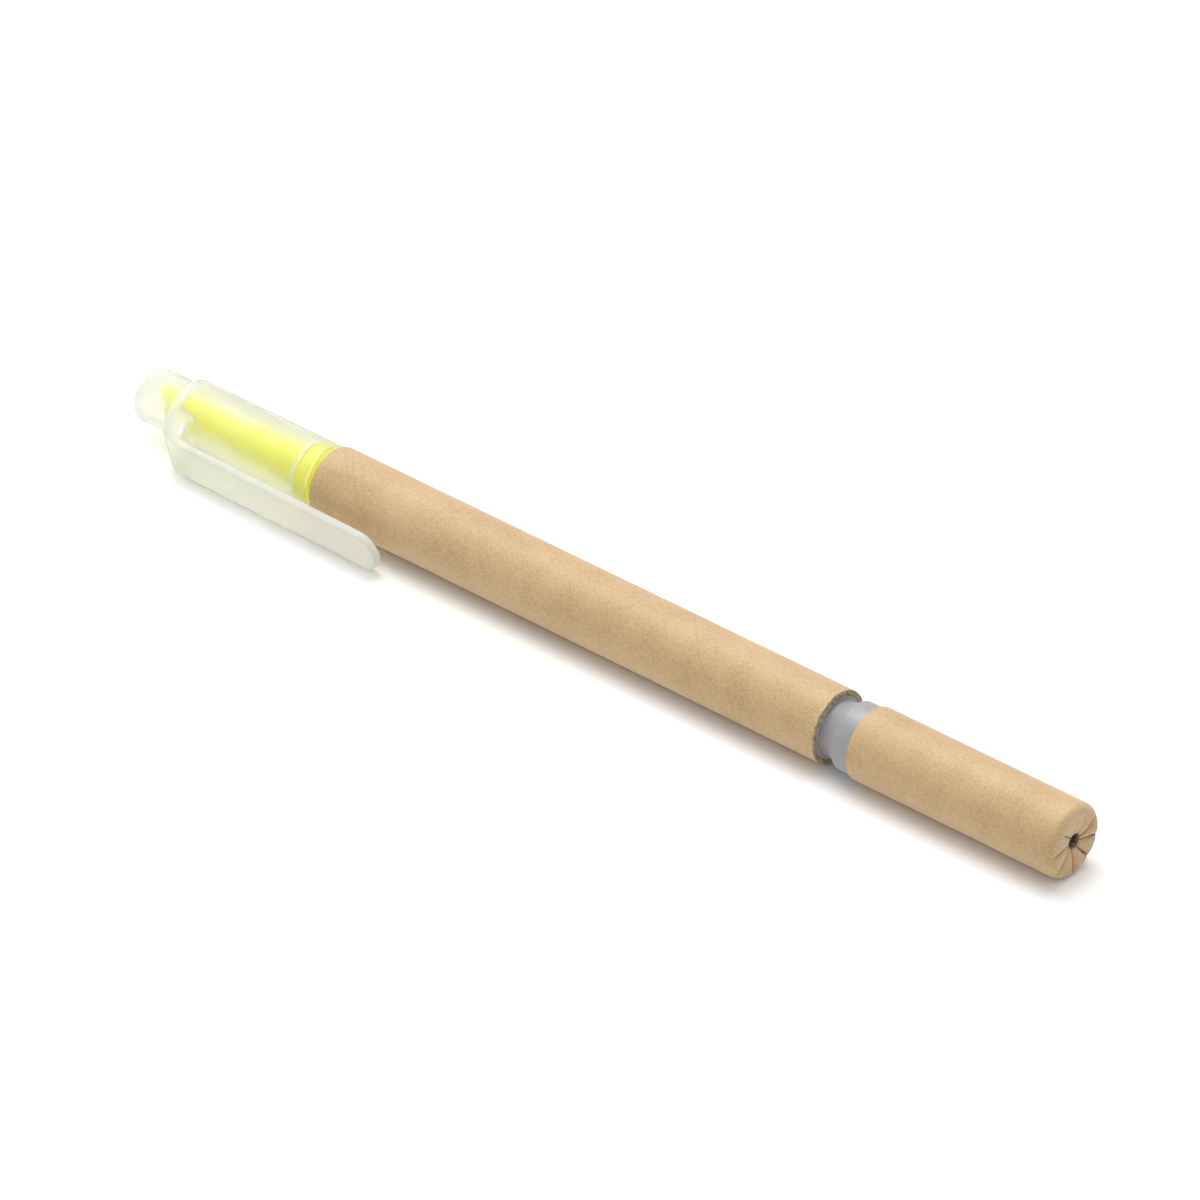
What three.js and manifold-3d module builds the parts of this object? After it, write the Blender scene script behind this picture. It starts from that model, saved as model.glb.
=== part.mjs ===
// Two-in-one pen with a paper barrel. A chisel highlighter under a frosted cap with a clip is
// at the -X end, and a ballpoint under a crimped paper cap is at the +X end. The pen lies on
// its side, as on a table: the barrel and the lower edge of the clip share the resting plane.
// Millimetres, +Z up. Along the pen, x = 0 is the barrel's edge on the highlighter side.
import * as THREE from "three";
import { mergeVertices } from "three/addons/utils/BufferGeometryUtils.js";
import Module from "manifold-3d";

const wasm = await Module();
wasm.setup();

// Facets round a circle: wide pieces, slim pieces, the writing ball
const WIDE_SIDES = 40;
const SLIM_SIDES = 24;
const BALL_SIDES = 16;
const BALL_BANDS = 12;
const FILLET_STEPS = 3;
const CURVE_STEPS = 5; // round the clip's inner corner
const TIP_STEPS = 12; // round the clip's tip
const EDGE_STEPS = 2; // across a rounded edge
const HEEL_STEPS = 6;
const CRIMP_STEPS = 4; // round the shoulder of the crimped end
const WELD_DISTANCE = 1e-4; // corners this close together are one

// Clearances
const PRESS_FIT = 0.05; // plugs in paper tubes, rods in their tubes
const CAP_FIT = 0.05; // caps on their seats
const SEAT_GAP = 0.03; // end faces that meet
const MOULD_GAP = 0.3; // the clip's foot and the cap's pad, where the clip flexes

// Paper barrel
const BARREL_LENGTH = 81.0;
const BARREL_RADIUS = 4.75;
const BARREL_WALL = 0.7;
const BARREL_EDGE = 0.12;

// Nib and its holder
const NIB_RADIUS = 1.75;
const NIB_REACH = 4.0;
const NIB_SEAT = 3.4;
const NIB_EDGE = 0.9; // thickness of the chisel's writing edge
const NIB_SLANT = 1.1; // how much further one corner of the edge reaches
const NIB_BEVEL = 2.9;
const NIB_TAIL_RADIUS = 1.2;
const NIB_TAIL_DEPTH = 3.0; // how far the tail reaches into the fibre rod
const HOLDER_LENGTH = 5.2;
const HOLDER_WALL = 0.45;
const HOLDER_CHAMFER = 0.35;
const SPIGOT_LENGTH = 4.6;
const SPIGOT_WALL = 0.4;

// Yellow front section
const SECTION_FRONT_LENGTH = 5.6;
const SECTION_FRONT_WALL = 0.35;
const SECTION_BODY_LENGTH = 11.3;
const SECTION_BODY_STEP = 0.8; // from the holder to the start of the body
const SECTION_TAPER = 0.25; // further growth towards the collar
const SECTION_BORE_WALL = 0.8;
const COLLAR_LENGTH = 2.5;
const COLLAR_GROOVE_WIDTH = 0.5;
const COLLAR_GROOVE_DEPTH = 0.16;
const FLANGE_LENGTH = 0.85;
const FLANGE_STEP = 0.42; // how far the flange stays inside the barrel's outer surface
const SECTION_PLUG_LENGTH = 8.0;
const SECTION_PLUG_WALL = 0.5;
const PLUG_CHAMFER = 0.4;

// Ink store inside the barrel
const INK_TUBE_LENGTH = 46.0;
const INK_TUBE_WALL = 0.4;
const FILM_WALL = 0.1;
const FILM_FIT = 0.02;
const TUBE_PLUG_DEPTH = 3.0;
const TUBE_PLUG_HEAD = 1.0;
const RESERVOIR_END_ROOM = 0.5;

// Frosted cap
const CAP_WALL = 0.82;
const CAP_MOUTH_WALL = 0.47;
const CAP_END_WALL = 1.2;
const CAP_TAIL_WALL = 0.9;
const CAP_SHOULDER_LENGTH = 1.25;
const CAP_SHOULDER_ROUND = 0.9;
const CAP_SHOULDER_ANGLE = 160; // where the round leaves the shoulder's slope, 0 along +X
const CAP_TAIL_ROUND = 0.45;
const SECTION_ROOM = 0.3; // between the section's body and the cap's bore
const NIB_END_ROOM = 0.75;
const NIB_SIDE_ROOM = 1.0;
const HOLDER_END_ROOM = 0.1; // from the holder's front to where the tail starts

// Clip on the frosted cap
const CLIP_WIDTH = 5.9;
const CLIP_THICKNESS = 1.2;
const CLIP_GAP = 1.55; // to the barrel, at the heel
const CLIP_LEAN = 0.43; // how much further out the tip stands than the heel
const CLIP_REACH = 13.8; // past the barrel's edge
const CLIP_TIP_DEPTH = 2.6;
const CLIP_FOOT_LENGTH = 3.4;
const CLIP_HEEL_LENGTH = 4.4; // half axes of the heel's oval round
const CLIP_HEEL_DEPTH = 4.2;
const CLIP_INNER_ROUND = 0.7;
const CLIP_INNER_LENGTH = 1.9;
const CLIP_EDGE_ROUND = 0.3;
const CLIP_ROOT_SPREAD = 0.8; // how much the pad widens down to the cap, each side
const CLIP_SPLIT = 0.35; // height of the cap's pad over the cap's surface

// Grey ballpoint section
const PEN_PLUG_LENGTH = 10.0;
const PEN_PLUG_WALL = 0.8;
const PEN_PLUG_WEB = 3.0;
const NECK_STEP = 0.2; // the neck is this much slimmer than the barrel's bore
const NECK_EXPOSED = 2.3;
const NECK_SEAT = 2.2; // length of the neck inside the cap's rim
const NECK_SHOULDER = 0.6;
const GRIP_RADIUS = 3.25;
const GRIP_LENGTH = 12.4;
const GRIP_RINGS = 4;
const GRIP_RING_DEPTH = 0.12;
const NOSE_LENGTH = 10.8;
const NOSE_WALL = 0.55;
const NOSE_BULGE = 0.35;
const NOSE_STEPS = 5;
const NOSE_LAND = 2.9; // length of the narrow bore at the nose

// Refill and tip
const REFILL_RADIUS = 1.55;
const REFILL_WALL = 0.45;
const REFILL_ROOM = 4.0; // between the ink tube's plug and the refill's open end
const FOLLOWER_START = 6.0;
const FOLLOWER_LENGTH = 2.0;
const TIP_SPIGOT_LENGTH = 3.2;
const TIP_FLANGE_LENGTH = 0.35;
const TIP_BODY_RADIUS = 1.15;
const TIP_BODY_EXPOSED = 1.4;
const TIP_CONE_LENGTH = 2.25;
const TIP_LIP_WALL = 0.1;
const TIP_CHANNEL_RADIUS = 0.22;
const BALL_RADIUS = 0.35;
const BALL_FIT = 0.02;
const BALL_REACH = 0.15; // how far the ball stands out of its socket

// Liner and paper sleeve of the ballpoint cap
const RIM_LENGTH = 2.55;
const RIM_WALL = 0.5;
const RIM_ROUND = 0.4;
const LINER_WALL = 0.62;
const LINER_ROOM = 0.15; // between the grip and the liner's bore
const LINER_END_WALL = 0.8;
const LINER_CHAMFER = 0.5;
const TIP_ROOM = 0.5;
const SLEEVE_WALL = 0.65;
const SLEEVE_END_ROOM = 0.3;
const CRIMP_THICKNESS = 1.45;
const CRIMP_ROUND = 1.7;
const CRIMP_DISH = 0.3;
const CRIMP_HOLE_RADIUS = 0.95;
const CRIMP_HOLE_STAR = 0.16;
const CRIMP_CROWN = 0.06;
const PLEAT_LIP = 2.6; // half width of a crease, in degrees round the pen
const PLEAT_STATIONS = 3; // between the two lips of a pleat
// Creases of the crimped end: angle from +Y towards +Z in degrees, and depth
const PLEATS = [
  { angle: 8, depth: 0.14 },
  { angle: 41, depth: 0.32 },
  { angle: 60, depth: 0.3 },
  { angle: 97, depth: 0.16 },
  { angle: 141, depth: 0.14 },
  { angle: 186, depth: 0.24 },
  { angle: 225, depth: 0.34 },
  { angle: 243, depth: 0.34 },
  { angle: 264, depth: 0.32 },
  { angle: 305, depth: 0.2 },
  { angle: 348, depth: 0.3 },
];

// Radii worked out from the sizes above
const barrelBore = BARREL_RADIUS - BARREL_WALL;
const plugRadius = barrelBore - PRESS_FIT;
const inkTubeRadius = plugRadius - SECTION_PLUG_WALL - PRESS_FIT;
const inkTubeBore = inkTubeRadius - INK_TUBE_WALL;
const filmRadius = inkTubeBore - PRESS_FIT;
const reservoirRadius = filmRadius - FILM_WALL - FILM_FIT;
const holderRadius = NIB_RADIUS + PRESS_FIT + HOLDER_WALL;
const spigotRadius = NIB_TAIL_RADIUS + PRESS_FIT + SPIGOT_WALL;
const sectionFrontRadius = spigotRadius + PRESS_FIT + SECTION_FRONT_WALL;
const sectionBodyRadius = Math.max(sectionFrontRadius, holderRadius) + SECTION_BODY_STEP;
const sectionBackRadius = sectionBodyRadius + SECTION_TAPER;
const capBore = sectionBackRadius + SECTION_ROOM;
const capRadius = capBore + CAP_WALL;
const capMouthBore = capRadius - CAP_MOUTH_WALL;
const collarRadius = capMouthBore - CAP_FIT;
const flangeRadius = Math.max(BARREL_RADIUS - FLANGE_STEP, collarRadius + CAP_FIT);
const capTailBore = NIB_RADIUS + NIB_SIDE_ROOM;
const capTailRadius = capTailBore + CAP_TAIL_WALL;
const neckRadius = barrelBore - NECK_STEP;
const rimBore = neckRadius + CAP_FIT;
const rimRadius = rimBore + RIM_WALL;
const linerBore = GRIP_RADIUS + LINER_ROOM;
const linerRadius = linerBore + LINER_WALL;
const sleeveBore = linerRadius + PRESS_FIT;
const sleeveRadius = sleeveBore + SLEEVE_WALL;
const refillBore = REFILL_RADIUS - REFILL_WALL;
const restHeight = Math.max(BARREL_RADIUS, sleeveRadius, capRadius);

// Places along the pen, highlighter side
const flangeFront = -FLANGE_LENGTH;
const collarFront = flangeFront - COLLAR_LENGTH;
const bodyFront = collarFront - SECTION_BODY_LENGTH;
const sectionFront = bodyFront - SECTION_FRONT_LENGTH;
const holderFront = sectionFront - HOLDER_LENGTH;
const nibTip = holderFront - NIB_REACH;
const capMouth = flangeFront - SEAT_GAP;
const capEnd = nibTip - NIB_END_ROOM - CAP_END_WALL;
const tailStart = holderFront - HOLDER_END_ROOM;
const capBodyStart = tailStart + CAP_SHOULDER_LENGTH;
const inkTubeStart = SEAT_GAP;
const inkTubeEnd = inkTubeStart + INK_TUBE_LENGTH;
const tubePlugEnd = inkTubeEnd + SEAT_GAP + TUBE_PLUG_HEAD;
const reservoirStart = inkTubeStart + RESERVOIR_END_ROOM;
const reservoirEnd = inkTubeEnd - TUBE_PLUG_DEPTH - RESERVOIR_END_ROOM;

// Places along the pen, ballpoint side
const penPlugRear = BARREL_LENGTH - PEN_PLUG_LENGTH;
const rimStart = BARREL_LENGTH + NECK_EXPOSED;
const rimEnd = rimStart + RIM_LENGTH;
const neckFront = rimStart + NECK_SEAT;
const gripStart = neckFront + NECK_SHOULDER;
const gripEnd = gripStart + GRIP_LENGTH;
const noseEnd = gripEnd + NOSE_LENGTH;
const landStart = noseEnd - NOSE_LAND;
const refillFront = landStart - TIP_FLANGE_LENGTH - SEAT_GAP;
const refillRear = tubePlugEnd + REFILL_ROOM;
const tipRear = refillFront - TIP_SPIGOT_LENGTH;
const coneStart = noseEnd + TIP_BODY_EXPOSED;
const tipLip = coneStart + TIP_CONE_LENGTH;
const ballCentre = tipLip + BALL_REACH - BALL_RADIUS;
const ballEnd = ballCentre + BALL_RADIUS;
const linerBoreEnd = ballEnd + TIP_ROOM;
const linerEnd = linerBoreEnd + LINER_END_WALL;
const sleeveStart = rimEnd + SEAT_GAP;
const sleeveBoreEnd = linerEnd + SLEEVE_END_ROOM;
const sleeveEnd = sleeveBoreEnd + CRIMP_THICKNESS;

// The clip in its own frame: u points away from the pen's axis, v runs across the blade
const clipInner = Math.max(BARREL_RADIUS, capRadius) + CLIP_GAP;
const clipOuter = clipInner + CLIP_THICKNESS;
const clipHalf = CLIP_WIDTH / 2;
const clipHeel = capBodyStart;
const clipTip = CLIP_REACH;
const tipShoulder = clipTip - CLIP_TIP_DEPTH;
const footEnd = clipHeel + CLIP_FOOT_LENGTH;
const padTop = capRadius + CLIP_SPLIT;
const clipFootBottom = padTop + MOULD_GAP;
// The inner round leaves a straight stretch of the foot's side for the rounded edge
const footStraight = clipFootBottom + 2 * CLIP_EDGE_ROUND;
const clipInnerRound = Math.min(CLIP_INNER_ROUND, clipInner - footStraight);
// The heel is a quarter of an oval about this place; the blade leans out from there
const heelX = clipHeel + CLIP_HEEL_LENGTH;
const heelU = clipOuter - CLIP_HEEL_DEPTH;
const lean = (x) => (CLIP_LEAN * (x - heelX)) / (clipTip - heelX);
const edgeU = clipOuter + lean(tipShoulder) - CLIP_EDGE_ROUND;
const edgeV = clipHalf - CLIP_EDGE_ROUND;
// Turn about the pen's axis that lays the blade's lower rounded edge on the resting plane
const edgeDistance = Math.hypot(edgeU, edgeV);
const clipRoll = Math.asin((restHeight - CLIP_EDGE_ROUND) / edgeDistance) - Math.atan2(edgeV, edgeU);
const clipReachY = edgeU * Math.cos(clipRoll) + edgeV * Math.sin(clipRoll) + CLIP_EDGE_ROUND;

// Materials
function finish(color, roughness, options = {}) {
  return new THREE.MeshStandardMaterial({ color, roughness, metalness: 0, ...options });
}
const kraft = finish(0xc9a77c, 0.92);
const yellowPlastic = finish(0xe9f024, 0.4);
const yellowFelt = finish(0xd9e83a, 0.95);
const frosted = finish(0xe6ead8, 0.55, { transparent: true, opacity: 0.6 });
const greyPlastic = finish(0xb4b4ba, 0.45, { transparent: true, opacity: 0.85 });
const clearPlastic = finish(0xe8eaec, 0.25, { transparent: true, opacity: 0.5 });
const blueInk = finish(0x15205c, 0.3);
const grease = finish(0xd8d2b0, 0.3);
const whitePlastic = finish(0xeeeeea, 0.4);
const nickel = finish(0xb9b6ae, 0.28, { metalness: 1 });
const carbide = finish(0x8b8d92, 0.15, { metalness: 1 });

// A solid of revolution about the pen's axis. Outline points are [x, r], counter-clockwise
// seen with x up and r to the right. The facets touch the circle of radius r at their middles,
// so a round fit keeps its clearance, and one facet lies level at the bottom.
function revolve(outline, sides) {
  const grow = 1 / Math.cos(Math.PI / sides);
  const points = outline.map(([x, r]) => new THREE.Vector2(r * grow, x));
  const geometry = new THREE.LatheGeometry(points, sides);
  geometry.rotateZ(-Math.PI / 2);
  geometry.rotateX(Math.PI / sides);
  return geometry;
}

// Outline points on an arc about (x, r), from one angle to another in degrees, 0 along +x
function arc(x, r, radius, from, to, steps = FILLET_STEPS) {
  const points = [];
  for (let i = 0; i <= steps; i += 1) {
    const angle = THREE.MathUtils.degToRad(from + ((to - from) * i) / steps);
    points.push([x + radius * Math.cos(angle), r + radius * Math.sin(angle)]);
  }
  return points;
}

function toSolid(geometry) {
  const bare = geometry.clone();
  bare.deleteAttribute("normal");
  bare.deleteAttribute("uv");
  const merged = mergeVertices(bare, WELD_DISTANCE);
  return new wasm.Manifold(
    new wasm.Mesh({
      numProp: 3,
      vertProperties: merged.attributes.position.array,
      triVerts: new Uint32Array(merged.index.array),
    }),
  );
}

function toGeometry(solid) {
  const { vertProperties, triVerts } = solid.getMesh();
  const geometry = new THREE.BufferGeometry();
  geometry.setAttribute("position", new THREE.BufferAttribute(vertProperties, 3));
  geometry.setIndex(new THREE.BufferAttribute(triVerts, 1));
  geometry.computeVertexNormals();
  return geometry;
}

function part(name, geometry, material) {
  const mesh = new THREE.Mesh(geometry, material);
  mesh.name = name;
  return mesh;
}

// Paper barrel: a plain tube with both outer edges slightly broken
function barrelTube() {
  const outline = [
    [0, barrelBore],
    [0, BARREL_RADIUS - BARREL_EDGE],
    [BARREL_EDGE, BARREL_RADIUS],
    [BARREL_LENGTH - BARREL_EDGE, BARREL_RADIUS],
    [BARREL_LENGTH, BARREL_RADIUS - BARREL_EDGE],
    [BARREL_LENGTH, barrelBore],
    [0, barrelBore],
  ];
  return part("barrel_tube", revolve(outline, WIDE_SIDES), kraft);
}

// Yellow section: stepped nose, collar with a groove, exposed flange and hollow plug
function highlighterSection() {
  const frontBore = spigotRadius + PRESS_FIT;
  const bodyBore = sectionBodyRadius - SECTION_BORE_WALL;
  const plugBore = inkTubeRadius + PRESS_FIT;
  const spigotEnd = sectionFront + SPIGOT_LENGTH + PRESS_FIT;
  const grooveEnd = flangeFront - COLLAR_GROOVE_WIDTH;
  const grooveRadius = collarRadius - COLLAR_GROOVE_DEPTH;
  const outline = [
    [sectionFront, frontBore],
    [sectionFront, sectionFrontRadius],
    [bodyFront, sectionFrontRadius],
    [bodyFront + SECTION_BODY_STEP / 2, sectionBodyRadius],
    [collarFront, sectionBackRadius],
    [collarFront, collarRadius - COLLAR_GROOVE_DEPTH],
    [collarFront + COLLAR_GROOVE_DEPTH, collarRadius],
    [grooveEnd - COLLAR_GROOVE_WIDTH, collarRadius],
    [grooveEnd - COLLAR_GROOVE_WIDTH, grooveRadius],
    [grooveEnd, grooveRadius],
    [grooveEnd, collarRadius],
    [flangeFront, collarRadius],
    [flangeFront, flangeRadius],
    [-SEAT_GAP, flangeRadius],
    [-SEAT_GAP, plugRadius],
    [SECTION_PLUG_LENGTH - PLUG_CHAMFER, plugRadius],
    [SECTION_PLUG_LENGTH, plugRadius - PLUG_CHAMFER],
    [SECTION_PLUG_LENGTH, plugBore],
    [0, plugBore],
    [0, bodyBore],
    [bodyFront + SECTION_BORE_WALL, bodyBore],
    [spigotEnd, frontBore],
    [sectionFront, frontBore],
  ];
  return part("highlighter_section", revolve(outline, WIDE_SIDES), yellowPlastic);
}

// Nib holder: a sleeve with a wide seat for the nib and a slim spigot for its tail
function nibHolder() {
  const seatBore = NIB_RADIUS + PRESS_FIT;
  const tailBore = NIB_TAIL_RADIUS + PRESS_FIT;
  const seatEnd = holderFront + NIB_SEAT + PRESS_FIT;
  const spigotStart = sectionFront - SEAT_GAP;
  const spigotEnd = sectionFront + SPIGOT_LENGTH;
  const outline = [
    [holderFront, seatBore],
    [holderFront, holderRadius - HOLDER_CHAMFER],
    [holderFront + HOLDER_CHAMFER, holderRadius],
    [spigotStart, holderRadius],
    [spigotStart, spigotRadius],
    [spigotEnd, spigotRadius],
    [spigotEnd, tailBore],
    [seatEnd, tailBore],
    [seatEnd, seatBore],
    [holderFront, seatBore],
  ];
  return part("nib_holder", revolve(outline, SLIM_SIDES), yellowPlastic);
}

// Felt nib: a stepped rod whose front is bevelled on two sides and cut off on a slant
function highlighterNib() {
  const seatEnd = holderFront + NIB_SEAT;
  const tailEnd = reservoirStart + NIB_TAIL_DEPTH;
  const rod = revolve(
    [
      [nibTip, 0],
      [nibTip, NIB_RADIUS],
      [seatEnd, NIB_RADIUS],
      [seatEnd, NIB_TAIL_RADIUS],
      [tailEnd, NIB_TAIL_RADIUS],
      [tailEnd, 0],
    ],
    SLIM_SIDES,
  );
  const wide = 2 * NIB_RADIUS;
  // The bevels, as an outline in x and y that is extruded along z
  const bevels = new THREE.Shape([
    new THREE.Vector2(nibTip, -NIB_EDGE / 2),
    new THREE.Vector2(nibTip + NIB_BEVEL, -NIB_RADIUS),
    new THREE.Vector2(nibTip + NIB_BEVEL, -wide),
    new THREE.Vector2(tailEnd + wide, -wide),
    new THREE.Vector2(tailEnd + wide, wide),
    new THREE.Vector2(nibTip + NIB_BEVEL, wide),
    new THREE.Vector2(nibTip + NIB_BEVEL, NIB_RADIUS),
    new THREE.Vector2(nibTip, NIB_EDGE / 2),
  ]);
  const bevelled = new THREE.ExtrudeGeometry(bevels, { depth: 2 * wide, bevelEnabled: false });
  bevelled.translate(0, 0, -wide);
  // The slant, as an outline in x and z that is extruded along y
  const slant = new THREE.Shape([
    new THREE.Vector2(nibTip, NIB_RADIUS),
    new THREE.Vector2(nibTip + NIB_SLANT, -NIB_RADIUS),
    new THREE.Vector2(nibTip + NIB_SLANT, -wide),
    new THREE.Vector2(tailEnd + wide, -wide),
    new THREE.Vector2(tailEnd + wide, wide),
    new THREE.Vector2(nibTip, wide),
  ]);
  const slanted = new THREE.ExtrudeGeometry(slant, { depth: 2 * wide, bevelEnabled: false });
  slanted.rotateX(Math.PI / 2);
  slanted.translate(0, wide, 0);
  const nib = toSolid(rod).intersect(toSolid(bevelled)).intersect(toSolid(slanted));
  return part("highlighter_nib", toGeometry(nib), yellowFelt);
}

// Fibre rod with the hole that the nib's tail has pressed into it
function inkReservoir() {
  const tailHole = NIB_TAIL_RADIUS + PRESS_FIT;
  const outline = [
    [reservoirStart, tailHole],
    [reservoirStart, reservoirRadius],
    [reservoirEnd, reservoirRadius],
    [reservoirEnd, 0],
    [reservoirStart + NIB_TAIL_DEPTH + PRESS_FIT, 0],
    [reservoirStart + NIB_TAIL_DEPTH + PRESS_FIT, tailHole],
    [reservoirStart, tailHole],
  ];
  return part("ink_reservoir", revolve(outline, SLIM_SIDES), yellowFelt);
}

function reservoirFilm() {
  const outline = [
    [reservoirStart, filmRadius - FILM_WALL],
    [reservoirStart, filmRadius],
    [reservoirEnd, filmRadius],
    [reservoirEnd, filmRadius - FILM_WALL],
    [reservoirStart, filmRadius - FILM_WALL],
  ];
  return part("reservoir_film", revolve(outline, SLIM_SIDES), clearPlastic);
}

function inkTube() {
  const outline = [
    [inkTubeStart, inkTubeBore],
    [inkTubeStart, inkTubeRadius],
    [inkTubeEnd, inkTubeRadius],
    [inkTubeEnd, inkTubeBore],
    [inkTubeStart, inkTubeBore],
  ];
  return part("ink_tube", revolve(outline, SLIM_SIDES), whitePlastic);
}

function inkTubePlug() {
  const stem = inkTubeBore - PRESS_FIT;
  const outline = [
    [inkTubeEnd - TUBE_PLUG_DEPTH, 0],
    [inkTubeEnd - TUBE_PLUG_DEPTH, stem - PLUG_CHAMFER],
    [inkTubeEnd - TUBE_PLUG_DEPTH + PLUG_CHAMFER, stem],
    [inkTubeEnd + SEAT_GAP, stem],
    [inkTubeEnd + SEAT_GAP, inkTubeRadius],
    [tubePlugEnd, inkTubeRadius],
    [tubePlugEnd, 0],
  ];
  return part("ink_tube_plug", revolve(outline, SLIM_SIDES), whitePlastic);
}

// Frosted cap: a cup with a rounded narrow tail, a shoulder and a thinner wall at the mouth,
// and a pad on its side that carries the clip
function highlighterCap() {
  const seatStep = collarFront - SEAT_GAP;
  const boreStart = capBodyStart + CAP_WALL;
  const outline = [
    [capEnd, 0],
    ...arc(capEnd + CAP_TAIL_ROUND, capTailRadius - CAP_TAIL_ROUND, CAP_TAIL_ROUND, 180, 90),
    [tailStart, capTailRadius],
    ...arc(
      capBodyStart + CAP_SHOULDER_ROUND,
      capRadius - CAP_SHOULDER_ROUND,
      CAP_SHOULDER_ROUND,
      CAP_SHOULDER_ANGLE,
      90,
    ),
    [capMouth, capRadius],
    [capMouth, capMouthBore],
    [seatStep, capMouthBore],
    [seatStep, capBore],
    [boreStart, capBore],
    [tailStart + CAP_TAIL_WALL, capTailBore],
    [capEnd + CAP_END_WALL, capTailBore],
    [capEnd + CAP_END_WALL, 0],
  ];
  const cup = toSolid(revolve(outline, WIDE_SIDES));
  // The pad's end face, across the pen: its flanks run down to the cap's round surface
  const rootHalf = edgeV + CLIP_ROOT_SPREAD;
  const rootDepth = Math.sqrt(capRadius * capRadius - rootHalf * rootHalf);
  const face = new THREE.Shape();
  face.moveTo(-padTop, -edgeV);
  face.lineTo(-padTop, edgeV);
  face.lineTo(-rootDepth, rootHalf);
  face.lineTo(-rootDepth, -rootHalf);
  face.closePath();
  const padLength = CLIP_FOOT_LENGTH - CAP_SHOULDER_ROUND;
  const pad = new THREE.ExtrudeGeometry(face, { depth: padLength, bevelEnabled: false });
  // The face's first axis turns to Y and its second to Z, so that the pad's depth runs along X
  pad.applyMatrix4(new THREE.Matrix4().set(0, 0, 1, 0, 1, 0, 0, 0, 0, 1, 0, 0, 0, 0, 0, 1));
  pad.translate(footEnd - padLength, 0, 0);
  pad.rotateX(clipRoll);
  const bore = revolve(
    [
      [tailStart, 0],
      [tailStart, capBore],
      [seatStep, capBore],
      [seatStep, 0],
    ],
    WIDE_SIDES,
  );
  const flank = toSolid(pad).subtract(toSolid(bore));
  return part("highlighter_cap", toGeometry(cup.add(flank)), frosted);
}

// Clip: an L-shaped side outline extruded across with rounded edges, then cut to the rounded
// tip by an outline seen from outside
function capClip() {
  const inner = (x) => clipInner + lean(x);
  const outer = (x) => clipOuter + lean(x);
  const innerStart = footEnd + CLIP_INNER_LENGTH;
  const heelTurn = Math.asin((clipFootBottom - heelU) / CLIP_HEEL_DEPTH);
  const side = new THREE.Shape();
  side.moveTo(heelX - CLIP_HEEL_LENGTH * Math.cos(heelTurn), clipFootBottom);
  side.lineTo(footEnd, clipFootBottom);
  side.lineTo(footEnd, clipInner - clipInnerRound);
  side.quadraticCurveTo(footEnd, inner(footEnd), innerStart, inner(innerStart));
  side.lineTo(clipTip, inner(clipTip));
  side.lineTo(clipTip, outer(clipTip));
  for (let i = HEEL_STEPS; i > 0; i -= 1) {
    const turn = heelTurn + ((Math.PI / 2 - heelTurn) * i) / HEEL_STEPS;
    const x = heelX - CLIP_HEEL_LENGTH * Math.cos(turn);
    side.lineTo(x, heelU + CLIP_HEEL_DEPTH * Math.sin(turn));
  }
  side.closePath();
  const blade = new THREE.ExtrudeGeometry(side, {
    depth: CLIP_WIDTH - 2 * CLIP_EDGE_ROUND,
    curveSegments: CURVE_STEPS,
    bevelThickness: CLIP_EDGE_ROUND,
    bevelSize: CLIP_EDGE_ROUND,
    bevelOffset: -CLIP_EDGE_ROUND,
    bevelSegments: EDGE_STEPS,
  });
  blade.translate(0, 0, -edgeV);
  const plan = new THREE.Shape();
  plan.moveTo(clipHeel - CLIP_WIDTH, -CLIP_WIDTH);
  plan.lineTo(tipShoulder, -CLIP_WIDTH);
  plan.absellipse(tipShoulder, 0, CLIP_TIP_DEPTH, clipHalf, -Math.PI / 2, Math.PI / 2);
  plan.lineTo(tipShoulder, CLIP_WIDTH);
  plan.lineTo(clipHeel - CLIP_WIDTH, CLIP_WIDTH);
  plan.closePath();
  const cutter = new THREE.ExtrudeGeometry(plan, {
    depth: 2 * clipOuter,
    curveSegments: TIP_STEPS,
    bevelEnabled: false,
  });
  cutter.rotateX(Math.PI / 2);
  cutter.translate(0, 2 * clipOuter, 0);
  const geometry = toGeometry(toSolid(blade).intersect(toSolid(cutter)));
  // The outline's u axis turns to point away from the pen on its -Y side
  geometry.rotateX(Math.PI);
  return part("cap_clip", geometry, frosted);
}

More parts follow.
